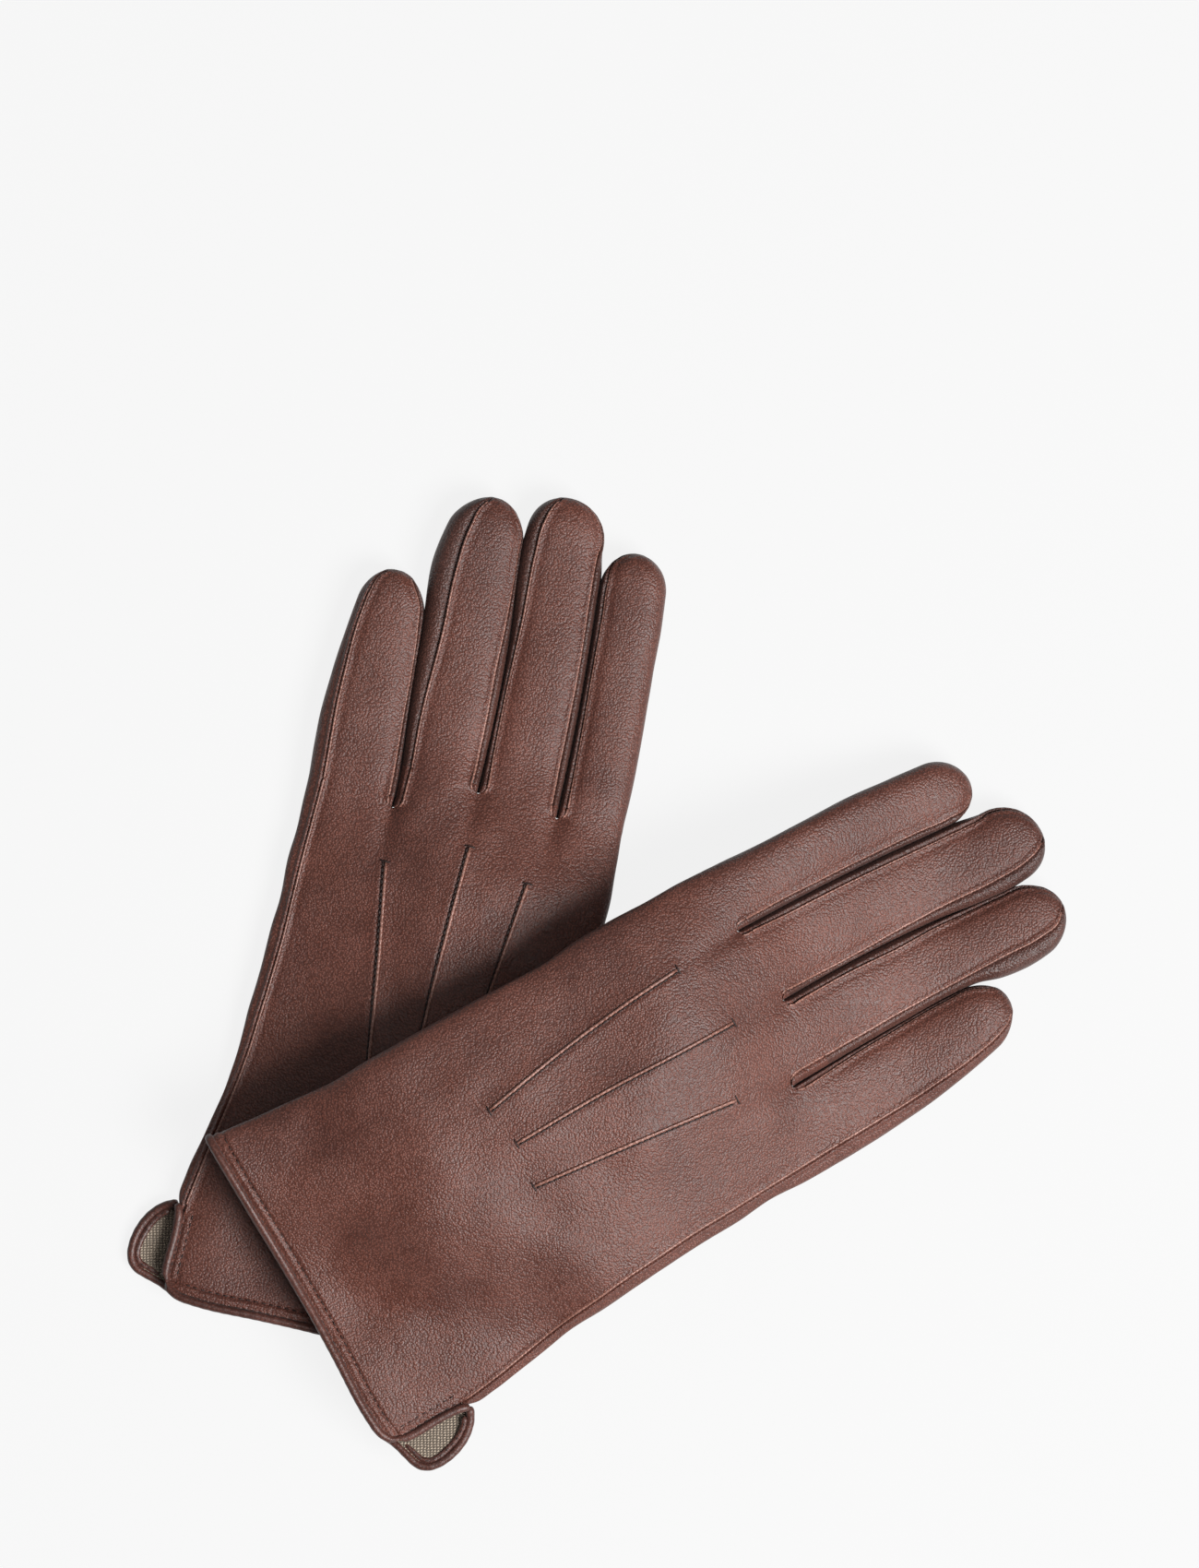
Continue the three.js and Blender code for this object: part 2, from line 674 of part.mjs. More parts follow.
  // Hinge of each finger: a level line across the hand just below its knuckle cut, the same way for
  // all four, so that bent fingers stay side by side. Hinge of the thumb: the centre of its hole.
  const world = (x, y, z) => new THREE.Vector3(x, y, z).applyMatrix4(group.matrixWorld);
  group.userData.hinges = Object.fromEntries(
    fingers.map((f) => {
      const y = f.reach(f.knuckle);
      const [low, high] = [f.edge(f.knuckle, 1), f.edge(f.knuckle, 2)];
      const xs = [0, 0.25, 0.5, 0.75, 1].map((t) => low + (high - low) * t);
      const z = Math.min(...xs.map((x) => lift(x, y))) - HINGE_DROP;
      return [side + "_" + f.name, [world(xs[0], y, z), world(xs[4], y, z)]];
    }),
  );
  const thumbAxis = [thumbLift, thumbLift + 1].map((z) => world(holeX, holeY, z));
  group.userData.hinges[side + "_thumb"] = thumbAxis;
  return group;
}

const pair = new THREE.Group();
pair.add(glove("left"), glove("right"));

// The origin is the middle of the pair's box, on the surface it lies on.
pair.updateMatrixWorld(true);
const bounds = new THREE.Box3().setFromObject(pair, true);
pair.position.set(-(bounds.min.x + bounds.max.x) / 2, -(bounds.min.y + bounds.max.y) / 2, -bounds.min.z);

export default pair;
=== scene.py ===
"""A pair of chocolate leather touchscreen gloves, the right one lying across the left one's cuff."""

import json
import math

import bmesh
import bpy
import numpy as np
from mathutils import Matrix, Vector


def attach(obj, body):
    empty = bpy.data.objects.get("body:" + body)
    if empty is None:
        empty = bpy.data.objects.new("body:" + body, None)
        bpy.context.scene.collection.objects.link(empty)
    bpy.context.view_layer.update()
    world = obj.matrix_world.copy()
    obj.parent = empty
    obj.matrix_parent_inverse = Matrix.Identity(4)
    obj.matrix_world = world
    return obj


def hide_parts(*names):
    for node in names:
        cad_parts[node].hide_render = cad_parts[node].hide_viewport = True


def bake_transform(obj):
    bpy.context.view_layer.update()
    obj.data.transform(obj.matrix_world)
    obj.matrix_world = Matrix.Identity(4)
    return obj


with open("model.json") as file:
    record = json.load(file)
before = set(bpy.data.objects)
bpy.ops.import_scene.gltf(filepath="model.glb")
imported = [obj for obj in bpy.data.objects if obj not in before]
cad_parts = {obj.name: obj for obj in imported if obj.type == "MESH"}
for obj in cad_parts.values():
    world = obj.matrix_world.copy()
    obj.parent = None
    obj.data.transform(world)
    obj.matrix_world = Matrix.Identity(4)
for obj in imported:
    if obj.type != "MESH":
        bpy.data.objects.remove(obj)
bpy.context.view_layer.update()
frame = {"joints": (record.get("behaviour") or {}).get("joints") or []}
JOINTS = {j["name"]: j for j in frame["joints"]}

# ---------------------------------------------------------------- pattern, in millimetres
# x across the hand towards the index finger, y from the cuff to the fingertips, z up.
HAND = np.array([
    [0, -50.2, 50.6], [12, -50.0, 49.5], [20, -50.2, 48.9], [25.5, -51.7, 48.4], [31, -51.0, 48],
    [40, -49.5, 47.4], [52, -47.7, 46.9], [68, -45.7, 46.5], [84, -44.8, 46.4], [100, -44.3, 46.6],
    [116, -44.3, 46.7], [130, -44.4, 46.5], [144.5, -44.6, 46.0], [158, -44.5, 45.4],
])
FINGERS = {
    "index": dict(rows=[[136, 26.9, 45.9], [158, 26.7, 45.3], [180, 25.7, 44], [200, 24.1, 42.5],
                        [216, 22.6, 40.8], [232.3, 21.6, 38.8]], tip=232.3, round=9.5, knuckle=158, lean=1.2),
    "middle": dict(rows=[[136, 3.6, 25.9], [158, 3.6, 25.8], [180, 2.9, 24.8], [200, 1.2, 23.2],
                         [220, -1.4, 20.9], [242.7, -3, 18.6]], tip=242.7, round=10.5, knuckle=158, lean=1.2),
    "ring": dict(rows=[[136, -18.8, 2.7], [158, -18.8, 2.7], [180, -19.2, 2], [198, -19.7, 0.6],
                       [206, -21.0, -0.4], [212, -23.0, -1.4], [219, -24.1, -2.6], [237.6, -22.6, -3.9]],
                 left=[[136, -18.8, 2.7], [158, -18.8, 2.7], [172, -20.9, 2.3], [185, -22.5, 1.8],
                       [199, -23.5, 0.5], [208, -25.4, -0.6], [215, -26.0, -1.9], [228, -24.4, -3.3],
                       [237.6, -22, -3.9]], tip=237.6, round=10, knuckle=158, lean=1.2),
    "little": dict(rows=[[128, -44.5, -19.8], [149, -44.5, -19.8], [166, -44.2, -20], [182, -42.8, -20.2],
                         [196, -40.6, -20.5], [211, -37.4, -20.9]],
                   tip=211, round=9.5, knuckle=149, lean=-4.5),
}
ORDER = ["index", "middle", "ring", "little"]
CROTCHES = [(26.4, 154.5), (3.1, 155.8), (-19.3, 146.0)]
POINTS = {
    "right": {
        "index": [[18.5, 70], [22.5, 95], [25, 118], [26, 135]],
        "middle": [[6.8, 72], [6.9, 100], [6.0, 122], [5.3, 141]],
        "little": [[-6, 70], [-9.5, 100], [-12, 118], [-14, 131]],
    },
    "left": {
        "index": [[16.5, 70], [19.2, 95], [21.4, 118], [23.0, 135]],
        "middle": [[4.6, 72], [4.2, 100], [4.4, 122], [4.8, 141]],
        "little": [[-7.5, 70], [-12, 100], [-15, 118], [-17.3, 131]],
    },
}
# Where the seams beside the crotches run: [y, x] on the low and high side of each finger.
SEAMS = {
    "index": {"low": [[158, 28.3], [175, 27.3], [195, 25.8], [212, 24.3], [222, 23.2], [228.5, 23.8],
                      [232.3, 27.5]]},
    "middle": {"low": [[158, 5.1], [180, 3.8], [205, 2.9], [225, 1.5], [234, 1.7], [240, 3.5], [242.7, 5.5]],
               "high": [[158, 24.5], [190, 22.3], [215, 20.0], [228, 18.9], [236, 18.6], [242.7, 12]]},
    "ring": {"low": [[158, -16.6], [195, -17.2], [215, -18.0], [228, -18.5], [234, -17.3], [237.6, -13.5]],
             "high": [[158, 1.2], [171, 0.6], [190, -0.7], [205, -1.4], [223, -3.0], [230, -3.9],
                      [237.6, -9]]},
    "little": {"high": [[149, -20.6], [175, -20.6], [196, -20.9], [203, -21.6], [211, -26]]},
}
LEFT_RING_SEAM = [[158, -16.8], [172, -17.9], [198, -18.1], [214, -18.9], [228, -18.0], [234, -16.5],
                  [237.6, -13.8]]
CUFF_THICK, KNUCKLE_THICK, FINGER_THICK = 10.5, 12.0, 12.5
THUMB_THICK, THUMB_ROOM, THUMB_CENTRE = 7.9, 8.7, (27.0, 70.0)
# The cross-sections are ovals of this power: 2 is an ellipse, and more is squarer.
POWER = 2.6
# How far out on a finger's width a seam may lie beside its crotch.
SEAM_LIMIT = 0.93
# How far the left cuff's index edge is folded in.
TUCK = 3.6
# The side seam on the back, from the end of the vent to the tip of the little finger.
SIDE_LINE = [[-4, -49.3], [19, -49.4], [22, -49.2], [35, -47.5], [50, -45], [70, -42.5], [90, -41.1],
             [130, -40.5], [150, -40.2], [180, -39.5], [196, -37.8], [204, -36.0], [208, -34.2], [211, -31]]
# The left glove lies a little further along than its solid, and leans to its little finger from LEAN_FROM.
LEFT_SHIFT = 3.6
LEFT_SWING = 0.0106
LEAN_FROM = 30
LEFT_TURN, RIGHT_TURN = math.radians(-14.5), math.radians(-59.8)
PILE_GAP, DRAPE_START, DRAPE_END = 1.6, 20.0, 95.0
VENT = 21.5
# Where the back's outer corner at the cuff starts to round, and its radius.
CORNER_X, CORNER_RADIUS = -45.8, 4.0
# Depth of the lining under the leather, in the hand and in the fingers and thumb.
HAND_LINING, FINGER_LINING, THUMB_LINING = 1.6, 1.7, 1.6
# A length beyond the knuckle over which the leather would bend; the fingers work out the point there but use
# it for nothing.
KNUCKLE_BLEND = 15.0
STITCH_PITCH = 2.2
POINT_PITCH = 1.7


def smooth(a, b, v):
    t = np.clip((np.asarray(v, float) - a) / (b - a), 0, 1)
    return t * t * (3 - 2 * t)


def mix(a, b, t):
    return a + (b - a) * t


def curve(rows, y, column):
    """Rows of [y, value, value], joined by a smooth curve."""
    rows = np.asarray(rows, float)
    xs, v = rows[:, 0], rows[:, column]
    slope = np.gradient(v, xs)
    y = np.clip(np.asarray(y, float), xs[0], xs[-1])
    i = np.clip(np.searchsorted(xs, y, side="right") - 1, 0, len(xs) - 2)
    h = xs[i + 1] - xs[i]
    t = (y - xs[i]) / h
    a, b, p, q = v[i], v[i + 1], slope[i] * h, slope[i + 1] * h
    return a + p * t + (3 * (b - a) - 2 * p - q) * t**2 + (2 * (a - b) + p + q) * t**3


def noise(x, y, size, seed):
    """Smooth value noise from -1 to 1 over a lattice of the given size."""
    lattice = np.random.default_rng(seed).uniform(-1, 1, (64, 64))
    u, v = np.asarray(x, float) / size + 17.3, np.asarray(y, float) / size + 5.7
    i, j = np.floor(u).astype(int), np.floor(v).astype(int)
    s, t = smooth(0, 1, u - i), smooth(0, 1, v - j)
    at = lambda a, b: lattice[a % 64, b % 64]
    return mix(mix(at(i, j), at(i + 1, j), s), mix(at(i, j + 1), at(i + 1, j + 1), s), t)


def power(v, p=2 / POWER):
    return np.sign(v) * np.abs(v) ** p


def hand_thick(y):
    return CUFF_THICK + (KNUCKLE_THICK - CUFF_THICK) * smooth(40, 140, y)


class Glove:
    """One glove: where its pattern lies in the shared frame."""

    def __init__(self, side):
        self.side = side
        self.left = side == "left"
        self.turn = LEFT_TURN if self.left else RIGHT_TURN
        self.flip = 1.0 if self.left else -1.0
        self.place = np.zeros(2)
        pivot = np.array(JOINTS[side + "_thumb_swing"]["pos_m"][:2]) * 1000
        self.place = pivot - self.flat(np.array([THUMB_CENTRE]))[0]

    def flat(self, xy):
        x, y = xy[..., 0] * self.flip, xy[..., 1]
        c, s = math.cos(self.turn), math.sin(self.turn)
        return np.stack([c * x - s * y, s * x + c * y], -1) + self.place

    def lift(self, x, y):
        """How far the glove's underside is above the table: over its own thumb, and over the other glove."""
        raised = smooth(8, 56, y) * (1 - smooth(126, 172, y))
        up = THUMB_ROOM * raised * smooth(-40, 10, x)
        return up + self.drape(x, y)

    def drape(self, x, y):
        if self.left:
            return np.zeros(np.broadcast(x, y).shape)
        other = GLOVES["left"]
        p = self.flat(np.stack(np.broadcast_arrays(x, y), -1).astype(float)) - other.place
        c, s = math.cos(-other.turn), math.sin(-other.turn)
        px, py = c * p[..., 0] - s * p[..., 1], s * p[..., 0] + c * p[..., 1]
        beyond = np.hypot(np.maximum(0, px - 46), np.maximum(0, -3 - py))
        pile = FINGER_THICK + PILE_GAP + THUMB_ROOM * smooth(12, 46, py)
        return pile * (1 - smooth(DRAPE_START, DRAPE_END, beyond))

    def world(self, p, lifted=True):
        """Pattern points in metres in the shared frame."""
        p = np.array(p, float)
        bow = 1.1 * np.exp(-(((p[..., 0] + 36) / 13) ** 2)) * (1 - smooth(0, 16, p[..., 1]))
        corner = np.clip(CORNER_X - p[..., 0], 0, CORNER_RADIUS - 0.1)
        rounded = CORNER_RADIUS - np.sqrt(CORNER_RADIUS**2 - corner**2) - 0.6
        high = p[..., 2] > CUFF_THICK / 2
        round_it = high & (p[..., 1] < 6) & (p[..., 1] > -0.7) & (p[..., 0] < CORNER_X)
        p[..., 1] = np.where(round_it, np.maximum(p[..., 1], rounded), p[..., 1]) - bow
        z = p[..., 2] + (self.lift(p[..., 0], p[..., 1]) if lifted else 0)
        if self.left and lifted:
            p[..., 0] -= LEFT_SWING * np.maximum(0, p[..., 1] - LEAN_FROM)
            p[..., 1] += LEFT_SHIFT
        xy = self.flat(p[..., :2])
        return np.concatenate([xy, z[..., None]], -1) / 1000

    def edge(self, name, y, column):
        f = FINGERS[name]
        y = np.asarray(y, float)
        own = self.raw_edge(name, y, column)
        k = ORDER.index(name) + (1 if column == 1 else -1)
        if not 0 <= k < 4:
            return own
        # Neighbouring fingers lie against one another until their tips.
        other = self.raw_edge(ORDER[k], y, 3 - column)
        g = FINGERS[ORDER[k]]
        until = min(f["tip"] - f["round"], g["tip"] - g["round"])
        together = 1 - smooth(until - 2, until + 8, y)
        meet = (own + other) / 2 + (-0.12 if column == 1 else 0.12)
        return mix(own, meet, together)

    def raw_edge(self, name, y, column):
        f = FINGERS[name]
        rows = f.get("left", f["rows"]) if self.left else f["rows"]
        return curve(rows, y, column) + self.lean(name, y)

    def hand_edges(self, y):
        tuck = TUCK * (1 - smooth(6, 60, y)) if self.left else 0
        return curve(HAND, y, 1), curve(HAND, y, 2) - tuck

    def lean(self, name, y):
        f = FINGERS[name]
        return f["lean"] * np.maximum(0, y - f["knuckle"]) / (f["tip"] - f["knuckle"]) if self.left else 0 * y

    def seam_line(self, name, y, word):
        rows = LEFT_RING_SEAM if self.left and (name, word) == ("ring", "low") else SEAMS[name][word]
        return curve([[a, b, b] for a, b in rows], y, 1) + self.lean(name, y)


GLOVES = {}
GLOVES["left"] = Glove("left")
GLOVES["right"] = Glove("right")

# ---------------------------------------------------------------- surfaces


def ring(xc, a, zc, b, phi):
    return np.stack([xc + a * power(np.cos(phi)), zc + b * power(np.sin(phi))], -1)


def ring_normal(a, b, phi):
    c, s = np.cos(phi), np.sin(phi)
    q = 2 - 2 / POWER
    n = np.stack([power(c, q) / np.maximum(a, 0.5), power(s, q) / np.maximum(b, 0.5)], -1)
    return n / np.linalg.norm(n, axis=-1, keepdims=True)


def phi_of(x, xc, a, low=-1.0, high=1.0):
    """Angle on the upper half of a padded ring where it passes x."""
    share = np.clip((x - xc) / np.maximum(a, 1e-3), low, high)
    return np.arccos(np.clip(np.sign(share) * np.abs(share) ** (POWER / 2), -1, 1))


class Finger:
    """The shape of one finger at pattern rows y."""

    def __init__(self, glove, name, y):
        f = FINGERS[name]
        k = ORDER.index(name)
        self.y, self.name = y, name
        lo, hi = glove.edge(name, y, 1), glove.edge(name, y, 2)
        tau = np.clip((y - (f["tip"] - f["round"])) / f["round"], 0, 1)
        self.lo, self.hi, self.xc, self.half = lo, hi, (lo + hi) / 2, (hi - lo) / 2
        self.a = np.maximum(self.half * np.sqrt(1 - tau**2), 1e-3)
        self.b = np.maximum(FINGER_THICK / 2 * (1 - tau**2) ** 0.25, 1e-3)
        self.place = y
        self.lines = {w: glove.seam_line(name, y, w) for w in SEAMS[name]}
        self.crotch_hi = CROTCHES[k - 1] if k > 0 else None
        self.crotch_lo = CROTCHES[k] if k < 3 else None
        outer = glove.hand_edges(y)
        self.hx, self.ha = (outer[0] + outer[1]) / 2, (outer[1] - outer[0]) / 2
        self.hb = hand_thick(y) / 2

    def seam(self, high_side):
        """x of the seam beside a crotch: both seams run together below the crotch."""
        x0, y0 = self.crotch_hi if high_side else self.crotch_lo
        line = self.lines["high" if high_side else "low"]
        open_x = np.clip(line, self.xc - 0.955 * self.a, self.xc + 0.955 * self.a)
        s = np.clip((self.y - y0) / 3.0, 0, 1)
        return x0 + (open_x - x0) * np.sqrt(1 - (1 - s) ** 2)

    def blend(self, share, up, down):
        """How much of the finger's own section shows, across its width; share is 1 at the little side."""
        high = self.crotch_hi or self.crotch_lo
        low = self.crotch_lo or self.crotch_hi
        w = [smooth(c[1] - up, c[1] + down, self.y)[:, None] for c in (high, low)]
        return mix(w[0], w[1], share)


def strip(glove, name, y, kind, columns):
    """Grid of points and normals of one strip of a finger and of the hand below it. Columns run round the
    ring from the index side over the back to the little side and on under the palm."""
    f = Finger(glove, name, y)
    u = np.linspace(0, 1, columns)
    c = 0.5 * (1 - np.cos(np.pi * u)) * 0.7 + 0.3 * u

    def angle(x, top, which):
        xc, a = (f.hx, f.ha) if which == "hand" else (f.xc, f.a)
        keep = mix(SEAM_LIMIT, 1.0, smooth(4, 18, y - (f.crotch_lo or f.crotch_hi)[1]))
        p = phi_of(x, xc, a, -keep, keep) if which != "hand" else phi_of(x, xc, a)
        return p if top else 2 * np.pi - p

    def side_angle(which):
        xc, a = (f.hx, f.ha) if which == "hand" else (f.xc, f.a)
        line = curve([[v, x, x] for v, x in SIDE_LINE], y, 1) + glove.lean(name, y)
        return phi_of(np.clip(line, xc - a, xc), xc, a)

    def ends(which):
        if kind == "back":
            first = angle(f.seam(True), True, which)
            if name == "little":
                last = side_angle(which)
            else:
                last = angle(f.seam(False), True, which)
        elif kind == "palm":
            last = angle(f.seam(True), False, which)
            if name == "little":
                first = side_angle(which)
            else:
                first = angle(f.seam(False), False, which)
        elif kind == "wrap":
            first = -(2 * np.pi - angle(f.seam(False), False, which))
            last = angle(f.seam(False), True, which)
        elif kind == "under":
            xc, a = (f.hx, f.ha) if which == "hand" else (f.xc, f.a)
            first = 2 * np.pi - phi_of(np.full_like(y, -33.0), xc, a)
            last = angle(f.seam(True), False, which)
        return first, last

    shapes, normals = [], []
    for which in ("hand", "finger"):
        first, last = ends(which)
        phi = first[:, None] + (last - first)[:, None] * c[None]
        if which == "hand":
            xc, a, zc, b = f.hx, f.ha, f.hb, f.hb
        else:
            xc, a, zc, b = f.xc, f.a, np.full_like(y, FINGER_THICK / 2), f.b
        shapes.append(ring(xc[:, None], a[:, None], zc[:, None], b[:, None], phi))
        normals.append(ring_normal(a[:, None], b[:, None], phi))
    across = c[None] if kind in ("back",) else 1 - c[None]
    if kind == "wrap":
        across = np.ones((1, columns))
    if name == "little":
        across = np.zeros((1, columns))
    w = f.blend(across, 9, 13)
    wn = f.blend(across, 0, 5)
    flat = mix(shapes[0], shapes[1], w[..., None])
    n = mix(normals[0], normals[1], wn[..., None])
    # The ends stay exactly on their seams, so that neighbouring strips share them.
    fix = [None, None]
    if kind == "back":
        fix = [f.seam(True), None if name == "little" else f.seam(False)]
    elif kind in ("palm", "under"):
        fix = [None if name == "little" else f.seam(False), f.seam(True)]
    elif kind == "wrap":
        fix = [f.seam(False), f.seam(False)]
    for target, weight in ((fix[0], (1 - u) ** 3), (fix[1], u**3)):
        if target is not None:
            end = 0 if weight[0] == 1 else -1
            flat[..., 0] += (target - flat[:, end, 0])[:, None] * weight[None]
    place = np.repeat(f.place[:, None], columns, 1)
    points = np.stack([flat[..., 0], place, flat[..., 1]], -1)
    n = np.stack([n[..., 0], np.zeros_like(place), n[..., 1]], -1)
    return f, points, n / np.linalg.norm(n, axis=-1, keepdims=True)


def relief(glove, points, normals, hand):
    """Soft dents and bulges of worn leather, and the pressed hem at the cuff."""
    x, y = points[..., 0], points[..., 1]
    seed = 11 if glove.left else 29
    d = 0.85 * noise(x, y, 24, seed) + 0.44 * noise(x, y, 11, seed + 1) + 0.05 * noise(x, y, 5, seed + 2)
    # Creases along the wrist and hollows between the knuckles.
    d += 0.35 * noise(x, y * 0.35, 7.5, seed + 3) * smooth(8, 20, y) * (1 - smooth(60, 90, y))
    d *= (0.25 + 0.75 * smooth(0, 12, y)) * (1 - 0.5 * smooth(135, 185, y))
    for x0, y0 in CROTCHES:
        d -= 0.9 * np.exp(-(((x - x0) / 3.2) ** 2)) * smooth(y0 - 24, y0 - 3, y) * (1 - smooth(y0, y0 + 3, y))
    if hand:
        top = normals[..., 2] > 0
        ripple = 0.10 * np.sin(x * 2 * np.pi / 2.4) + 0.08 * noise(x, y, 1.7, seed + 7)
        along_cuff = top * smooth(-49.5, -47.5, x)
        beside_vent = top * (1 - smooth(-44, -43, x)) * smooth(1.0, 3.0, y) * (1 - smooth(19.5, 22.5, y))
        d += (0.34 + ripple) * np.exp(-(((y - 0.75) / 0.7) ** 2)) * along_cuff
        d -= (0.42 + ripple) * np.exp(-(((y - 2.05) / 0.38) ** 2)) * along_cuff
        d += (0.34 + ripple) * np.exp(-(((x + 47.45) / 0.6) ** 2)) * beside_vent
        d -= (0.42 + ripple) * np.exp(-(((x + 46.2) / 0.36) ** 2)) * beside_vent
        for rows in POINTS[glove.side].values():
            rows = np.asarray(rows, float)
            at = np.interp(y, rows[:, 1], rows[:, 0])
            start, end = rows[0, 1], rows[-1, 1]
            inside = smooth(start - 2, start + 2, y) * (1 - smooth(end - 2, end + 2, y))
            away = (x - at) * np.where(top, 1, 100)
            d += inside * (0.35 * np.exp(-((away / 2.6) ** 2)) - 0.5 * np.exp(-(((away + 0.85) / 0.42) ** 2)))
    return points + normals * d[..., None]


def seam_edges(points, normals, opening, first, last):
    """Rolls the leather into its seams: a puckered ridge beside the seam, and an edge turned down into it."""
    y = points[..., 1]
    for wanted, order in ((first, 1), (last, -1)):
        if not wanted:
            continue
        p, n = points[:, ::order], normals[:, ::order]
        steps = np.linalg.norm(np.diff(p[..., [0, 2]], axis=1), axis=-1)
        away = np.cumsum(np.r_["1", np.zeros((len(p), 1)), steps], 1)
        pucker = 1 + 0.45 * np.sin(y[:, ::order] * 2 * np.pi / 2.3) * np.exp(-away / 0.8)
        bump = 0.36 * np.exp(-(((away - 0.8) / 0.45) ** 2)) * pucker - 0.5 * np.exp(-((away / 0.36) ** 2))
        bump -= 0.10 * np.exp(-(((away - 2.0) / 0.7) ** 2))
        p += n * (bump * opening[:, None])[..., None]
        out = p[:, 0] - p[:, 1]
        out /= np.maximum(np.linalg.norm(out, axis=-1, keepdims=True), 1e-6)
        size = opening[:, None]
        lip = p[:, 0].copy()
        for outward, down in ((0.14, 0.28), (0.16, 0.8)):
            turned = (lip + (out * outward - n[:, 0] * down) * size)[:, None]
            tail = normals[:, :1] if order == 1 else normals[:, -1:]
            points = np.concatenate([turned, points][::order], 1)
            normals = np.concatenate([tail, normals][::order], 1)
        y = points[..., 1]
    return points


def wall(glove, name, y, high_side, columns=16):
    """The side wall of a finger between its two seams on one side: the fourchette."""
    f = Finger(glove, name, y)
    x0, y0 = f.crotch_hi if high_side else f.crotch_lo
    sign = 1 if high_side else -1
    seam_x = f.seam(high_side)
    grow = smooth(y0, y0 + 5, y)
    side = mix(x0, f.xc + sign * f.a, grow)

    def height(x, up):
        keep = mix(SEAM_LIMIT, 1.0, smooth(4, 18, y - y0))
        share = np.clip(np.abs((x - f.xc) / f.a), 0, keep)
        own = FINGER_THICK / 2 + up * f.b * (1 - share**POWER) ** (1 / POWER)
        hand_share = np.clip(np.abs((x - f.hx) / f.ha), 0, 1)
        hand = f.hb * (1 + up * (1 - hand_share**POWER) ** (1 / POWER))
        return mix(hand, own, smooth(y0 - 9, y0 + 13, y))

    top_z, low_z = height(seam_x, 1), height(seam_x, -1)
    t = np.linspace(0, 1, columns)[None]
    bulge = np.sin(np.pi * t) ** 0.7
    x = mix(seam_x[:, None], side[:, None], bulge)
    z = mix(top_z[:, None], low_z[:, None], (1 - np.cos(np.pi * t)) / 2)
    points = np.stack([x, np.repeat(f.place[:, None], columns, 1), z], -1)
    n = np.zeros_like(points)
    n[..., 0] = sign * (0.25 + np.sin(np.pi * t))
    n[..., 2] = np.cos(np.pi * t)
    n /= np.linalg.norm(n, axis=-1, keepdims=True)
    if high_side:
        points, n = points[:, ::-1], n[:, ::-1]
    return points, n, smooth(y0 + 0.3, y0 + 3, y)


def grid_faces(rows, columns, flip):
    i = np.arange(rows - 1)[:, None] * columns + np.arange(columns - 1)[None]
    q = np.stack([i, i + columns, i + columns + 1, i + 1], -1).reshape(-1, 4)
    return q[:, ::-1] if flip else q


def build(name, grids, glove, weld=True, lifted=True):
    """One object from grids of pattern points."""
    verts, faces, base = [], [], 0
    for g in grids:
        rows, columns = g.shape[:2]
        p = g.reshape(-1, 3).copy()
        p[:, 2] = np.maximum(p[:, 2], 0.02)
        verts.append(glove.world(p, lifted))
        faces.append(grid_faces(rows, columns, not glove.left) + base)
        base += rows * columns
    return mesh_object(name, np.concatenate(verts), np.concatenate(faces), weld)


def mesh_object(name, verts, faces, weld=True):
    data = bpy.data.meshes.new(name)
    data.from_pydata(np.asarray(verts).tolist(), [], [tuple(map(int, f)) for f in faces])
    if weld:
        bm = bmesh.new()
        bm.from_mesh(data)
        bmesh.ops.remove_doubles(bm, verts=bm.verts, dist=1.2e-5)
        bmesh.ops.dissolve_degenerate(bm, edges=bm.edges, dist=1e-7)
        bm.to_mesh(data)
        bm.free()
    return smooth_object(name, data)


def smooth_object(name, data):
    data.polygons.foreach_set("use_smooth", [True] * len(data.polygons))
    data.update()
    o = bpy.data.objects.new(name, data)
    bpy.context.scene.collection.objects.link(o)
    return o


def sweep(path, half_width, half_height, sides=12, taper=0.0, ripple=0.0, pitch=2.4):
    """A closed tube with an elliptical section along a path in pattern space; returns points and faces."""
    path = np.asarray(path, float)
    tangent = np.gradient(path, axis=0)
    tangent /= np.linalg.norm(tangent, axis=1, keepdims=True)
    sideways = np.cross(tangent, np.broadcast_to(np.array([0.0, 0, 1]), path.shape))
    sideways /= np.maximum(np.linalg.norm(sideways, axis=1, keepdims=True), 1e-9)
    lift = np.cross(sideways, tangent)
    length = np.r_[0, np.cumsum(np.linalg.norm(np.diff(path, axis=0), axis=1))]
    size = 1 + ripple * np.sin(length * 2 * np.pi / pitch)
    if taper:
        size = size * np.clip(np.minimum(length, length[-1] - length) / taper, 0.02, 1) ** 0.5
    a = np.linspace(0, 2 * np.pi, sides, endpoint=False)
    pts = (path[:, None] + sideways[:, None] * (half_width * np.cos(a))[None, :, None] * size[:, None, None]
           + lift[:, None] * (half_height * np.sin(a))[None, :, None] * size[:, None, None])
    n = len(path)
    faces = []
    for i in range(0, (n - 1) * sides, sides):
        for k in range(sides):
            after = (k + 1) % sides
            faces.append((i + k, i + after, i + sides + after, i + sides + k))
    faces.append(tuple(range(sides))[::-1])
    faces.append(tuple((n - 1) * sides + k for k in range(sides)))
    return pts.reshape(-1, 3), faces


def swept(name, glove, tubes, lifted=True):
    """One object from several tubes in pattern space."""
    verts, faces, base = [], [], 0
    for pts, fs in tubes:
        verts.append(glove.world(pts, lifted))
        faces += [tuple(i + base for i in (f if glove.left else f[::-1])) for f in fs]
        base += len(pts)
    data = bpy.data.meshes.new(name)
    data.from_pydata(np.concatenate(verts).tolist(), [], faces)
    bm = bmesh.new()
    bm.from_mesh(data)
    bmesh.ops.recalc_face_normals(bm, faces=bm.faces)
    bm.to_mesh(data)
    bm.free()
    return smooth_object(name, data)


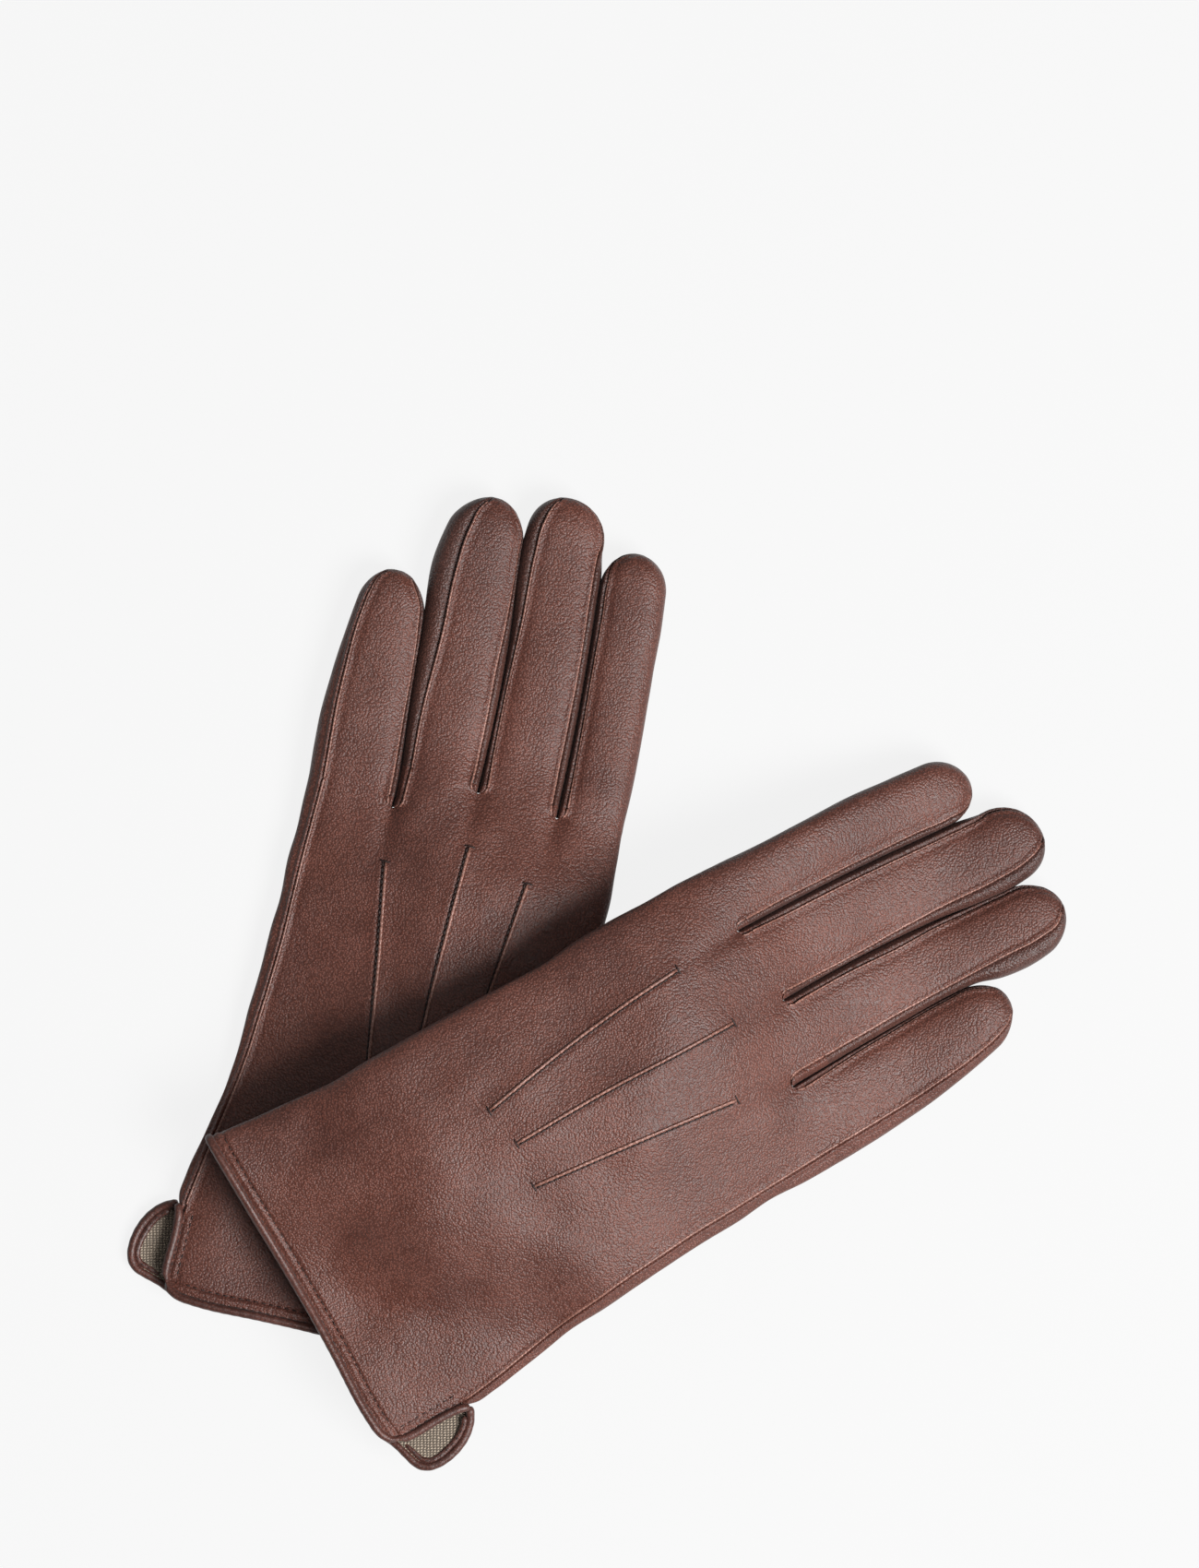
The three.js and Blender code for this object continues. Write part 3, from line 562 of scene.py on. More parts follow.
def resample(path, step):
    path = np.asarray(path, float)
    length = np.r_[0, np.cumsum(np.linalg.norm(np.diff(path, axis=0), axis=1))]
    at = np.linspace(0, length[-1], max(3, int(length[-1] / step) + 1))
    return np.stack([np.interp(at, length, path[:, k]) for k in range(3)], -1)


def stitches(path, pitch, dash, radius, sink=0.0):
    """Short threads that dip into the leather at both ends."""
    path = resample(path, 0.1)
    length = np.r_[0, np.cumsum(np.linalg.norm(np.diff(path, axis=0), axis=1))]
    out = []
    for start in np.arange(pitch * 0.4, length[-1] - dash, pitch):
        at = np.linspace(start, start + dash, 5)
        p = np.stack([np.interp(at, length, path[:, k]) for k in range(3)], -1)
        p[:, 2] += np.array([-0.22, 0.0, 0.05, 0.0, -0.22]) + sink
        out.append(sweep(p, radius, radius, sides=6))
    return out


# ---------------------------------------------------------------- materials
def nodes_of(material):
    material.use_nodes = True
    tree = material.node_tree
    tree.nodes.clear()
    out = tree.nodes.new("ShaderNodeOutputMaterial")
    shader = tree.nodes.new("ShaderNodeBsdfPrincipled")
    tree.links.new(shader.outputs[0], out.inputs[0])
    return tree, shader


def add(tree, kind, **values):
    node = tree.nodes.new(kind)
    for key, value in values.items():
        if key in node.inputs:
            node.inputs[key].default_value = value
        else:
            setattr(node, key, value)
    return node


def ramp(tree, source, stops):
    node = tree.nodes.new("ShaderNodeValToRGB")
    tree.links.new(source, node.inputs[0])
    while len(node.color_ramp.elements) < len(stops):
        node.color_ramp.elements.new(0.5)
    for element, (place, colour) in zip(node.color_ramp.elements, stops):
        element.position = place
        element.color = (*colour, 1) if len(colour) == 3 else colour
    return node.outputs[0]


def math_node(tree, operation, a, b):
    node = tree.nodes.new("ShaderNodeMath")
    node.operation = operation
    for i, v in enumerate((a, b)):
        if isinstance(v, (int, float)):
            node.inputs[i].default_value = v
        else:
            tree.links.new(v, node.inputs[i])
    return node.outputs[0]


def bumped(tree, shader, height, strength, distance):
    bump = add(tree, "ShaderNodeBump", Strength=strength, Distance=distance)
    tree.links.new(height, bump.inputs["Height"])
    tree.links.new(bump.outputs[0], shader.inputs["Normal"])


def leather(name, base, light, dark, rough=0.48, grain=0.55, cell=1700.0):
    """Grained lambskin: pebbles, finer wrinkles, and slow changes of colour; the crevices between the pebbles
    are darkened in the colour as painted shade.
    """
    material = bpy.data.materials.new(name)
    tree, shader = nodes_of(material)
    link = tree.links.new
    place = add(tree, "ShaderNodeTexCoord").outputs["Object"]
    warp = add(tree, "ShaderNodeTexNoise", Scale=420.0, Detail=2.0)
    link(place, warp.inputs["Vector"])
    shift = add(tree, "ShaderNodeVectorMath", operation="MULTIPLY_ADD")
    link(warp.outputs["Color"], shift.inputs[0])
    shift.inputs[1].default_value = (0.0005, 0.0005, 0.0005)
    link(place, shift.inputs[2])
    pebble = add(tree, "ShaderNodeTexVoronoi", Scale=cell, feature="SMOOTH_F1", Smoothness=0.35)
    link(shift.outputs[0], pebble.inputs["Vector"])
    fine = add(tree, "ShaderNodeTexNoise", Scale=cell * 1.9, Detail=3.0, Roughness=0.6)
    link(place, fine.inputs["Vector"])
    slow = add(tree, "ShaderNodeTexNoise", Scale=38.0, Detail=4.0, Roughness=0.55)
    link(place, slow.inputs["Vector"])
    patch = add(tree, "ShaderNodeTexNoise", Scale=140.0, Detail=3.0)
    link(place, patch.inputs["Vector"])
    tone = math_node(tree, "ADD", math_node(tree, "MULTIPLY", slow.outputs["Fac"], 0.75),
                     math_node(tree, "MULTIPLY", patch.outputs["Fac"], 0.25))
    colour = ramp(tree, tone, [(0.36, dark), (0.5, base), (0.66, light)])
    # Painted shade: the colour darkens towards the edge of each pebble, in the grain's crevices, on top of
    # the grain pattern.
    crevice_shade = ramp(tree, pebble.outputs["Distance"], [(0.15, (1, 1, 1)), (0.55, (0.42, 0.37, 0.34))])
    tint = add(tree, "ShaderNodeMix", data_type="RGBA", blend_type="MULTIPLY")
    tint.inputs["Factor"].default_value = 0.9
    link(colour, tint.inputs["A"])
    link(crevice_shade, tint.inputs["B"])
    link(tint.outputs["Result"], shader.inputs["Base Color"])
    pores = math_node(tree, "MULTIPLY", fine.outputs["Fac"], 0.35)
    height = math_node(tree, "SUBTRACT", pores, pebble.outputs["Distance"])
    bumped(tree, shader, height, grain, 0.0004)
    polish = math_node(tree, "ADD", rough - 0.1, math_node(tree, "MULTIPLY", patch.outputs["Fac"], 0.2))
    link(polish, shader.inputs["Roughness"])
    shader.inputs["Specular IOR Level"].default_value = 0.5
    shader.inputs["Sheen Weight"].default_value = 0.08
    shader.inputs["Sheen Roughness"].default_value = 0.5
    return material


def knit(name):
    """Fine rib knit of the lining."""
    material = bpy.data.materials.new(name)
    tree, shader = nodes_of(material)
    link = tree.links.new
    place = add(tree, "ShaderNodeTexCoord").outputs["Object"]
    wave = add(tree, "ShaderNodeTexWave", Scale=340.0, Distortion=2.0, Detail=2.0)
    wave.inputs["Detail Scale"].default_value = 2.5
    link(place, wave.inputs["Vector"])
    cross = add(tree, "ShaderNodeTexWave", Scale=420.0, Distortion=3.0, bands_direction="Y")
    link(place, cross.inputs["Vector"])
    fuzz = add(tree, "ShaderNodeTexNoise", Scale=2600.0, Detail=3.0)
    link(place, fuzz.inputs["Vector"])
    both = math_node(tree, "MULTIPLY", wave.outputs["Fac"], cross.outputs["Fac"])
    colour = ramp(tree, both, [(0.0, (0.10, 0.075, 0.055)), (0.6, (0.46, 0.37, 0.28))])
    link(colour, shader.inputs["Base Color"])
    height = math_node(tree, "ADD", both, math_node(tree, "MULTIPLY", fuzz.outputs["Fac"], 0.4))
    bumped(tree, shader, height, 0.8, 0.0006)
    shader.inputs["Roughness"].default_value = 0.95
    shader.inputs["Sheen Weight"].default_value = 0.3
    return material


def thread(name, colour):
    material = bpy.data.materials.new(name)
    tree, shader = nodes_of(material)
    link = tree.links.new
    place = add(tree, "ShaderNodeTexCoord").outputs["Object"]
    twist = add(tree, "ShaderNodeTexNoise", Scale=3500.0, Detail=2.0)
    link(place, twist.inputs["Vector"])
    dark, light = (tuple(c * k for c in colour) for k in (0.6, 1.3))
    link(ramp(tree, twist.outputs["Fac"], [(0.35, dark), (0.65, light)]), shader.inputs["Base Color"])
    bumped(tree, shader, twist.outputs["Fac"], 0.5, 0.0002)
    shader.inputs["Roughness"].default_value = 0.6
    return material


LEATHER = leather("glove_leather", (0.152, 0.047, 0.030), (0.184, 0.060, 0.040), (0.120, 0.035, 0.022))
# Painted shade: a darker copy of the leather for the fourchettes, which lie in the shaded gaps between the
# fingers.
SHADED_FOURCHETTE = leather("shaded_fourchette_leather", (0.100, 0.033, 0.022), (0.125, 0.043, 0.029), (0.075, 0.024, 0.016))
TRIM = leather("trim_leather", (0.118, 0.038, 0.026), (0.150, 0.051, 0.036), (0.088, 0.027, 0.018), 0.48, 0.2)
# Painted highlight: a much lighter copy of the leather, worn by the seam edges and the folds of the points so
# that they look lit.
SEAM_HIGHLIGHT = leather("seam_highlight_leather", (0.36, 0.17, 0.13), (0.45, 0.235, 0.19), (0.27, 0.115, 0.085),
               0.38, 0.15, 1600.0)
PAD = leather("conductive_leather", (0.070, 0.036, 0.030), (0.085, 0.045, 0.036), (0.055, 0.028, 0.023),
              0.5, 0.2, 1500.0)
KNIT = knit("knit_lining")
THREAD = thread("thread", (0.022, 0.010, 0.008))

MATERIAL_SLOTS = {
    "leather": (LEATHER, "glove_leather"),
    "deep": (SHADED_FOURCHETTE, "glove_leather"),
    "edge": (SEAM_HIGHLIGHT, "glove_leather"),
    "trim": (TRIM, "trim_leather"),
    "thread": (THREAD, "trim_leather"),
    "knit": (KNIT, "knit_lining"),
    "pad": (PAD, "conductive_leather"),
}


def dress(o, kind, replaces=()):
    material, slot = MATERIAL_SLOTS[kind]
    o.data.materials.clear()
    o.data.materials.append(material)
    if replaces:
        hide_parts(*replaces)
    return o


# ---------------------------------------------------------------- one glove
HAND_ROWS = np.unique(np.round(np.r_[np.arange(-0.6, 5, 0.25), np.arange(5, 138, 0.95),
                                     np.arange(138, 158.01, 0.45), VENT, 149, 158], 3))
COLUMNS = {"wrap": 76, "back": 34, "little_palm": 60}


def finger_rows(name, start):
    f = FINGERS[name]
    straight = f["tip"] - f["round"]
    rows = np.r_[np.arange(start, straight, 0.8), straight]
    rounds = straight + f["round"] * np.sin(np.linspace(0, np.pi / 2, 17)[1:])
    return np.r_[rows, rounds]


def opening(y, crotch):
    return smooth(crotch[1] + 0.2, crotch[1] + 2.5, y)


def panel(glove, name, y, kind, hand):
    wide = "little_palm" if (name, kind) == ("little", "palm") else "back"
    columns = COLUMNS["wrap" if kind == "wrap" else wide]
    f, p, n = strip(glove, name, y, kind, columns)
    p = relief(glove, p, n, hand)
    # Which ends are seams, and from which row on.
    lo = f.crotch_lo
    hi = f.crotch_hi
    if kind == "wrap":
        return seam_edges(p, n, opening(y, lo), True, True)
    if name == "little":
        side = np.ones_like(y)
        if kind == "back":
            q = seam_edges(p, n, side, False, True)
            m = np.concatenate([n, n[:, -1:], n[:, -1:]], 1)
            return seam_edges(q, m, opening(y, hi), True, False)
        if kind == "palm":
            q = seam_edges(p, n, side, True, False)
            m = np.concatenate([n[:, :1], n[:, :1], n], 1)
            return seam_edges(q, m, opening(y, hi), False, True)
        return seam_edges(p, n, opening(y, hi), False, True)
    first, last = (hi, lo) if kind == "back" else (lo, hi)
    q = seam_edges(p, n, opening(y, first), True, False)
    m = np.concatenate([n[:, :1], n[:, :1], n], 1)
    return seam_edges(q, m, opening(y, last), False, True)


def side_wall(glove, name, y, high_side):
    p, n, open_ = wall(glove, name, y, high_side)
    return seam_edges(p, n, open_ * 0.9, True, True)


def top_height(glove, x, y):
    low, high = glove.hand_edges(y)
    share = np.clip(np.abs((x - (low + high) / 2) / ((high - low) / 2)), 0, 1)
    return hand_thick(y) / 2 * (1 + (1 - share**POWER) ** (1 / POWER))


def cuff_path(glove, y, start_x, inset):
    """A line across the back of the cuff, from the vent to the index edge."""
    high = float(glove.hand_edges(0.0)[1])
    xs = np.arange(start_x, high - 1.5, 0.5)
    zs = top_height(glove, xs, np.full(len(xs), max(y, 0.0))) - inset
    return np.stack([xs, np.full(len(xs), y, float), zs], -1)


# The edge of the palm lip of the vent, from the cuff to the end of the side seam.
PALM_LIP = [[-46.5, -1.6, 1.2], [-50.5, -0.1, 1.5], [-54.5, 0.8, 1.7], [-58.2, 1.9, 1.8], [-60.2, 4.2, 1.9],
            [-60.8, 8.0, 1.9], [-60.1, 12.6, 2.0], [-58.2, 17.0, 2.3], [-55.3, 20.4, 2.9], [-52.7, 22.0, 3.7],
            [-51.4, 22.7, 4.8]]


def cord(p, first, rows):
    """The folded edge of the leather along a seam, and the sunken thread beside it: a dark continuous tube in
    the groove, partly thread and partly painted shadow.
    """
    edge = p[rows, 4 if first else -5].copy()
    edge[:, 2] += 0.18
    low = p[rows, 2 if first else -3].copy()
    low[:, 2] -= 0.02
    return (sweep(resample(edge, 0.35), 0.36, 0.4, sides=8, ripple=0.16, pitch=1.3, taper=0.5),
            sweep(resample(low, 0.5), 0.3, 0.2, sides=8, ripple=0.1, pitch=1.3, taper=0.5))


def glove_pieces(glove):
    side = glove.side

    def add_piece(o, body, kind, replaces=()):
        dress(o, kind, replaces)
        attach(o, side + "_" + body)
        return o

    # The hand: the trank from the cuff to the knuckles.
    grids = []
    y_main = HAND_ROWS
    y_little = HAND_ROWS[HAND_ROWS <= 149]
    cords = []
    grids.append(panel(glove, "index", y_main, "wrap", True))
    cords.append(cord(grids[-1], False, y_main > CROTCHES[0][1] + 0.3))
    for name in ("middle", "ring"):
        for kind in ("back", "palm"):
            grids.append(panel(glove, name, y_main, kind, True))
            if kind == "back":
                k = ORDER.index(name)
                cords.append(cord(grids[-1], True, y_main > CROTCHES[k - 1][1] + 0.3))
                cords.append(cord(grids[-1], False, y_main > CROTCHES[k][1] + 0.3))
    grids.append(panel(glove, "little", y_little, "back", True))
    cords.append(cord(grids[-1], True, y_little > CROTCHES[2][1] + 0.3))
    cords.append(cord(grids[-1], False, y_little > VENT + 0.8))
    grids.append(panel(glove, "little", y_little[y_little >= VENT], "palm", True))
    grids.append(panel(glove, "little", y_little[y_little <= VENT], "under", True))
    for name, high_side in (("index", False), ("middle", True), ("middle", False),
                            ("ring", True), ("ring", False), ("little", True)):
        f = FINGERS[name]
        k = ORDER.index(name)
        crotch = CROTCHES[k - 1] if high_side else CROTCHES[k]
        rows = HAND_ROWS[(HAND_ROWS > crotch[1]) & (HAND_ROWS <= f["knuckle"])]
        grids.append(side_wall(glove, name, np.r_[crotch[1], rows], high_side))
    # The palm lip of the vent.
    lip = np.array(PALM_LIP)
    rows = np.linspace(0.3, VENT + 0.2, 30)
    edge_x = np.interp(rows, lip[:, 1], lip[:, 0])
    t = np.linspace(0, 1, 24)[None]
    x = mix(edge_x[:, None], -32.0, t)
    z = 0.9 + 0.5 * (1 - t) ** 2 - 0.4 * t + 0 * x
    lip_rows = np.repeat(rows[:, None], 24, 1)
    under = np.stack([x, lip_rows, z], -1)
    grids.append(under)
    add_piece(build(side + "_trank_leather", grids, glove), "hand", "leather", [side + "_trank"])
    # The rolled seam edges wear the painted highlight colour.
    add_piece(swept(side + "_trank_seam_edges", glove, [c[0] for c in cords]), "hand", "edge")
    # Painted shadow: the continuous dark tubes in the seam grooves stand for the thread and for the shade in
    # the groove.
    add_piece(swept(side + "_trank_seam_threads", glove, [c[1] for c in cords]), "hand", "thread")

    # Lining: the inside of the hand from the cuff on, and the lining of the palm lip.
    y = np.r_[np.arange(0.2, 30, 1.2), np.arange(30, 141, 3.0)]
    phi = np.linspace(0, 2 * np.pi, 120)
    low, high = glove.hand_edges(y)
    xc, a, b = (low + high) / 2, (high - low) / 2 - HAND_LINING, hand_thick(y) / 2 - HAND_LINING
    flat = ring(xc[:, None], a[:, None], hand_thick(y)[:, None] / 2, b[:, None], phi[None])
    tube = np.stack([flat[..., 0], np.repeat(y[:, None], 120, 1), flat[..., 1]], -1)
    tube[..., 2] += 0.25 * noise(tube[..., 0], tube[..., 1], 6, 8)
    split = phi[None] * np.ones_like(y)[:, None]
    vent_side = (tube[..., 0] < -44.5) & (y[:, None] < VENT) & (split > 2.2) & (split < 4.1)
    tube[..., 0] = np.where(vent_side, np.minimum(tube[..., 0], -44.5), tube[..., 0])
    parts = [tube[y >= VENT]]
    vent_rows = tube[y <= VENT + 1.2]
    first = int(np.argmax(phi > 2.45))
    last = int(np.argmax(phi > 3.95))
    parts += [vent_rows[:, : first + 1], vent_rows[:, last:]]
    x = mix(edge_x[:, None] + 1.5, -34.0, t)
    z = 1.9 + 0.6 * (1 - t) ** 2 + 0.18 * noise(x, lip_rows, 3.0, 9)
    over = np.stack([x, lip_rows, z], -1)[:, ::-1]
    parts.append(over)
    add_piece(build(side + "_lining_knit", parts, glove, weld=False), "hand", "knit", [side + "_hand_lining"])

    # Cuff binding: one rolled edge round the cuff and both lips of the vent.
    count = 420
    first, last = math.acos(-0.885), -math.acos(-0.9)
    phi = np.linspace(first, last, count)
    low, high = (float(v) for v in glove.hand_edges(0.0))
    xc, a = (low + high) / 2, (high - low) / 2
    flat = ring(xc, a, CUFF_THICK / 2, CUFF_THICK / 2, phi)
    cuff = np.stack([flat[:, 0], np.full(count, -1.75), flat[:, 1]], -1)
    cuff[:, 1] += 0.15 * noise(cuff[:, 0], cuff[:, 2], 14, 3)
    up = lambda x, y: float(top_height(glove, np.array(x), np.array(y)))
    back_lip = [[x, v, up(max(x, -49.2), v) + h] for x, v, h in (
        (-51.2, 22.6, -1.7), (-50.6, 21.6, -0.6), (-50.0, 19, 0.0), (-49.7, 14, 0.15), (-49.8, 8, 0.1),
        (-49.7, 4.2, 0.1), (-49.0, 1.4, 0.0), (-47.4, -0.6, 0.0), (-45.0, -1.6, 0.0))]
    loop = np.concatenate([smooth_path(back_lip), cuff[(cuff[:, 0] > -44.0)], smooth_path(PALM_LIP)])
    loop = resample(loop, 0.6)
    for _ in range(3):
        loop[1:-1] = (loop[:-2] + 2 * loop[1:-1] + loop[2:]) / 4
    roll = sweep(loop, 1.22, 1.3, sides=14, ripple=0.025, pitch=2.9, taper=0.8)
    add_piece(swept(side + "_cuff_roll", glove, [roll]), "hand", "trim", [side + "_cuff_binding"])
    groove = cuff_path(glove, -0.55, -44.5, 0.0)
    dots = cuff_path(glove, 2.05, -44.0, 0.0)
    threads = stitches(groove, STITCH_PITCH, 1.5, 0.17, -0.1) + stitches(dots, STITCH_PITCH, 1.2, 0.16, -0.25)
    vent_groove = np.array([[-48.45, v, up(-48.45, v)] for v in np.arange(2.2, 21.6, 0.5)])
    vent_dots = np.array([[-46.2, v, up(-46.2, v)] for v in np.arange(3.0, 21.0, 0.5)])
    threads += stitches(vent_groove, STITCH_PITCH, 1.5, 0.17, -0.05)
    threads += stitches(vent_dots, STITCH_PITCH, 1.2, 0.16, -0.25)
    add_piece(swept(side + "_cuff_stitching", glove, threads), "hand", "thread")

    # Bindings inside the two lips of the vent: a second, flatter roll beside the first.
    inner_palm = np.array(PALM_LIP)[1:-1]
    middle = np.array([-53.6, 11.0])
    toward = middle - inner_palm[:, :2]
    inner_palm[:, :2] += toward / np.linalg.norm(toward, axis=1, keepdims=True) * 1.9
    inner_palm[:, 2] += 0.25
    inner = resample(smooth_path(inner_palm), 0.6)
    add_piece(swept(side + "_vent_roll_palm", glove, [sweep(inner, 0.95, 0.8, ripple=0.05, taper=1.0)]),
              "hand", "trim", [side + "_vent_binding_palm"])
    facing = np.array([[-49.1, v, up(-49.2, v) - 1.1] for v in np.arange(1.5, 21.5, 0.6)])
    add_piece(swept(side + "_vent_roll_back", glove, [sweep(facing, 1.0, 0.7, ripple=0.04, taper=0.8)]),
              "hand", "trim", [side + "_vent_binding_back"])
    beside = inner.copy()
    beside[:, 2] += 0.72
    threads = stitches(beside, STITCH_PITCH, 1.3, 0.16)
    add_piece(swept(side + "_vent_stitching", glove, threads), "hand", "thread")

    # Points: three pin tucks with fine stitching beside the fold.
    for name, rows in POINTS[glove.side].items():
        rows = np.asarray(rows, float)
        ys = np.arange(rows[0, 1], rows[-1, 1], 0.4)
        path = smooth_path(np.c_[rows, np.zeros(len(rows))])
        xs = np.interp(ys, path[:, 1], path[:, 0])
        zs = top_height(glove, xs, ys)
        probe = np.stack([xs, ys, zs], -1)[None]
        up = np.zeros_like(probe)
        up[..., 2] = 1
        zs = relief(glove, probe, up, True)[0][:, 2]
        ridge = np.stack([xs, ys, zs + 0.12], -1)
        fold = sweep(ridge, 0.46, 0.5, ripple=0.12, pitch=POINT_PITCH, taper=1.5)
        beside = ridge.copy()
        beside[:, 0] -= 0.75
        beside[:, 2] -= 0.12
        ends = []
        for k in (0, -1):
            bar = ridge[k] + np.array([[-1.5, 0, -0.1], [0, 0, 0.35], [1.3, 0, -0.1]])
            ends.append(sweep(resample(bar, 0.3), 0.22, 0.22, sides=6))
        # The fold of each point wears the painted highlight colour.
        add_piece(swept(f"{side}_point_{name}_fold", glove, [fold]), "hand", "edge", [f"{side}_point_{name}"])
        threads = stitches(beside, POINT_PITCH, 1.35, 0.26) + ends
        add_piece(swept(f"{side}_point_{name}_stitching", glove, threads), "hand", "thread")

    # Fingers.
    for name in ORDER:
        f = FINGERS[name]
        body = side + "_" + name
        y = finger_rows(name, f["knuckle"])
        start_x = float((glove.edge(name, f["knuckle"], 1) + glove.edge(name, f["knuckle"], 2)) / 2)
        base = f["knuckle"]
        start = glove.world(np.array([start_x, base, 0.0]))
        end = glove.world(np.array([start_x, base + KNUCKLE_BLEND, 0.0]))
        end[2] = start[2]
        made = []
        if name == "index":
            made.append(("wrap", [panel(glove, name, y, "wrap", False)], [f"{side}_index_wrap"]))
            made.append(("fourchette", [side_wall(glove, name, y, False)], [f"{side}_index_fourchette"]))
        else:
            made.append(("back", [panel(glove, name, y, "back", False)], [f"{side}_{name}_back"]))
            made.append(("palm", [panel(glove, name, y, "palm", False)], [f"{side}_{name}_palm"]))
            if name == "little":
                made.append(("fourchette", [side_wall(glove, name, y, True)], [f"{side}_little_fourchette"]))
            else:
                for high, word in ((True, "index_side"), (False, "little_side")):
                    node = f"{side}_{name}_fourchette_{word}"
                    made.append(("fourchette_" + word, [side_wall(glove, name, y, high)], [node]))
        # The lining inside the finger.
        rows = y[::4]
        g = Finger(glove, name, rows)
        angle = np.linspace(0, 2 * np.pi, 40)
        wide, high = (np.maximum(v - FINGER_LINING, 0.05)[:, None] for v in (g.a, g.b))
        inside = ring(g.xc[:, None], wide, FINGER_THICK / 2, high, angle[None])
        along = g.place - FINGER_LINING * smooth(f["tip"] - f["round"], f["tip"], rows)
        tube = np.stack([inside[..., 0], np.repeat(along[:, None], 40, 1), inside[..., 1]], -1)
        made.append(("lining_knit", [tube], [f"{side}_{name}_lining"]))
        top = made[0][1][0]
        shape = Finger(glove, name, y)
        every = shape.a > 0.5 * shape.half
        if name == "index":
            edges = [cord(top, False, every)]
        else:
            edges = [cord(top, True, every), cord(top, False, every)]
        objects = [swept(f"{side}_{name}_seam_edges", glove, [e[0] for e in edges]),
                   swept(f"{side}_{name}_seam_threads", glove, [e[1] for e in edges])]
        # The rolled seam edges wear the painted highlight colour.
        dress(objects[0], "edge")
        # The dark tubes in the seam grooves are partly thread and partly painted shadow.
        dress(objects[1], "thread")
        for word, grids, nodes in made:
            o = build(f"{side}_{name}_{word}_piece", grids, glove)
            # The fourchettes wear the darker copy of the leather, as painted shade.
            dress(o, "knit" if "lining" in word else "deep" if "fourchette" in word else "leather", nodes)
            objects.append(o)
        for o in objects:
            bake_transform(o)
        if name == "index":
            # Touch pad: a patch on the palm side of the fingertip.
            rows = np.linspace(f["tip"] - 21, f["tip"] - 5, 26)
            _, p, n = strip(glove, name, rows, "wrap", COLUMNS["wrap"])
            part = p[:, 12:30] + n[:, 12:30] * 0.22
            edge = p[:, 12:30] - n[:, 12:30] * 0.3
            part[[0, -1]] = edge[[0, -1]]
            part[:, [0, -1]] = edge[:, [0, -1]]
            o = build(f"{side}_index_pad_patch", [part], glove)
            dress(o, "pad", [f"{side}_index_touch_pad"])
            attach(o, body)

    thumb_pieces(glove, side)


def smooth_path(points, count=80):
    points = np.asarray(points, float)
    t = np.linspace(0, 1, len(points))
    at = np.linspace(0, 1, count)
    return np.stack([curve(np.c_[t, points[:, k], points[:, k]], at, 1) for k in range(3)], -1)


def thumb_pieces(glove, side):
    """The thumb lies flat under the palm and joins the hand by a round neck."""
    lift = float(glove.drape(np.array(THUMB_CENTRE[0]), np.array(THUMB_CENTRE[1])))
    turn = math.radians(5)
    reach, radius = 54.0, 11.0

    def shape(inset, rows, columns):
        s = np.linspace(0, 1, rows)
        far = reach - radius * 0.88
        place = mix(-radius, reach, s)
        half = radius * mix(1.0, 0.88, smooth(0, 0.6, s)) - inset
        low = np.clip(-place / radius, 0, 1)
        high = np.clip((place - far) / (radius * 0.88), 0, 1)
        cap = np.sqrt(np.clip(1 - np.maximum(low, high) ** 2, 0, 1))
        phi = np.linspace(0, 2 * np.pi, columns)
        flat = ring(0 * s[:, None], np.maximum(half * cap, 0.01)[:, None], THUMB_THICK / 2,
                    np.maximum((THUMB_THICK / 2 - inset) * np.sqrt(cap), 0.01)[:, None], phi[None])
        c, w = math.cos(turn), math.sin(turn)
        x = flat[..., 0]
        y = np.repeat(place[:, None], columns, 1)
        px, py = c * x - w * y + THUMB_CENTRE[0], w * x + c * y + THUMB_CENTRE[1]
        z = flat[..., 1] + lift
        wrinkles = 0.25 * noise(px, py, 9, 41) + 0.1 * noise(px, py, 3.5, 42)
        z = z + wrinkles * np.sign(np.sin(phi))[None] * 0.8
        return np.stack([px, py, z], -1)

    body = side + "_thumb"
    o = build(side + "_thumb_leather", [shape(0.0, 90, 72)], glove, lifted=False)
    dress(o, "leather", [side + "_thumb_piece"])
    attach(o, body)
    # The seam of the thumb and the neck in its hole.
    edge = shape(-0.15, 90, 72)
    seam = [sweep(resample(edge[4:-4, k], 0.7), 0.45, 0.45, ripple=0.08, taper=1) for k in (0, 36)]
    a = np.linspace(0, 2 * np.pi, 73)
    across, along = THUMB_CENTRE
    neck = [np.stack([across + r * np.cos(a), along + r * np.sin(a), np.full(73, z + lift)], -1)
            for r, z in ((9.9, 5.5), (9.5, 7.6), (9.3, 8.6), (9.4, 9.8))]
    o = swept(side + "_thumb_seam", glove, seam, lifted=False)
    dress(o, "trim")
    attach(o, body)
    o = build(side + "_thumb_neck", [np.stack(neck)], glove, lifted=False)
    dress(o, "leather")
    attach(o, body)
    o = build(side + "_thumb_lining_knit", [shape(THUMB_LINING, 40, 40)], glove, lifted=False)
    dress(o, "knit", [side + "_thumb_lining"])
    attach(o, body)
    whole = shape(-0.22, 90, 72)
    part = whole[60:80, 43:66].copy()
    inner = shape(0.3, 90, 72)[60:80, 43:66]
    part[[0, -1]] = inner[[0, -1]]
    part[:, [0, -1]] = inner[:, [0, -1]]
    o = build(side + "_thumb_pad_patch", [part], glove, lifted=False)
    dress(o, "pad", [side + "_thumb_touch_pad"])
    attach(o, body)


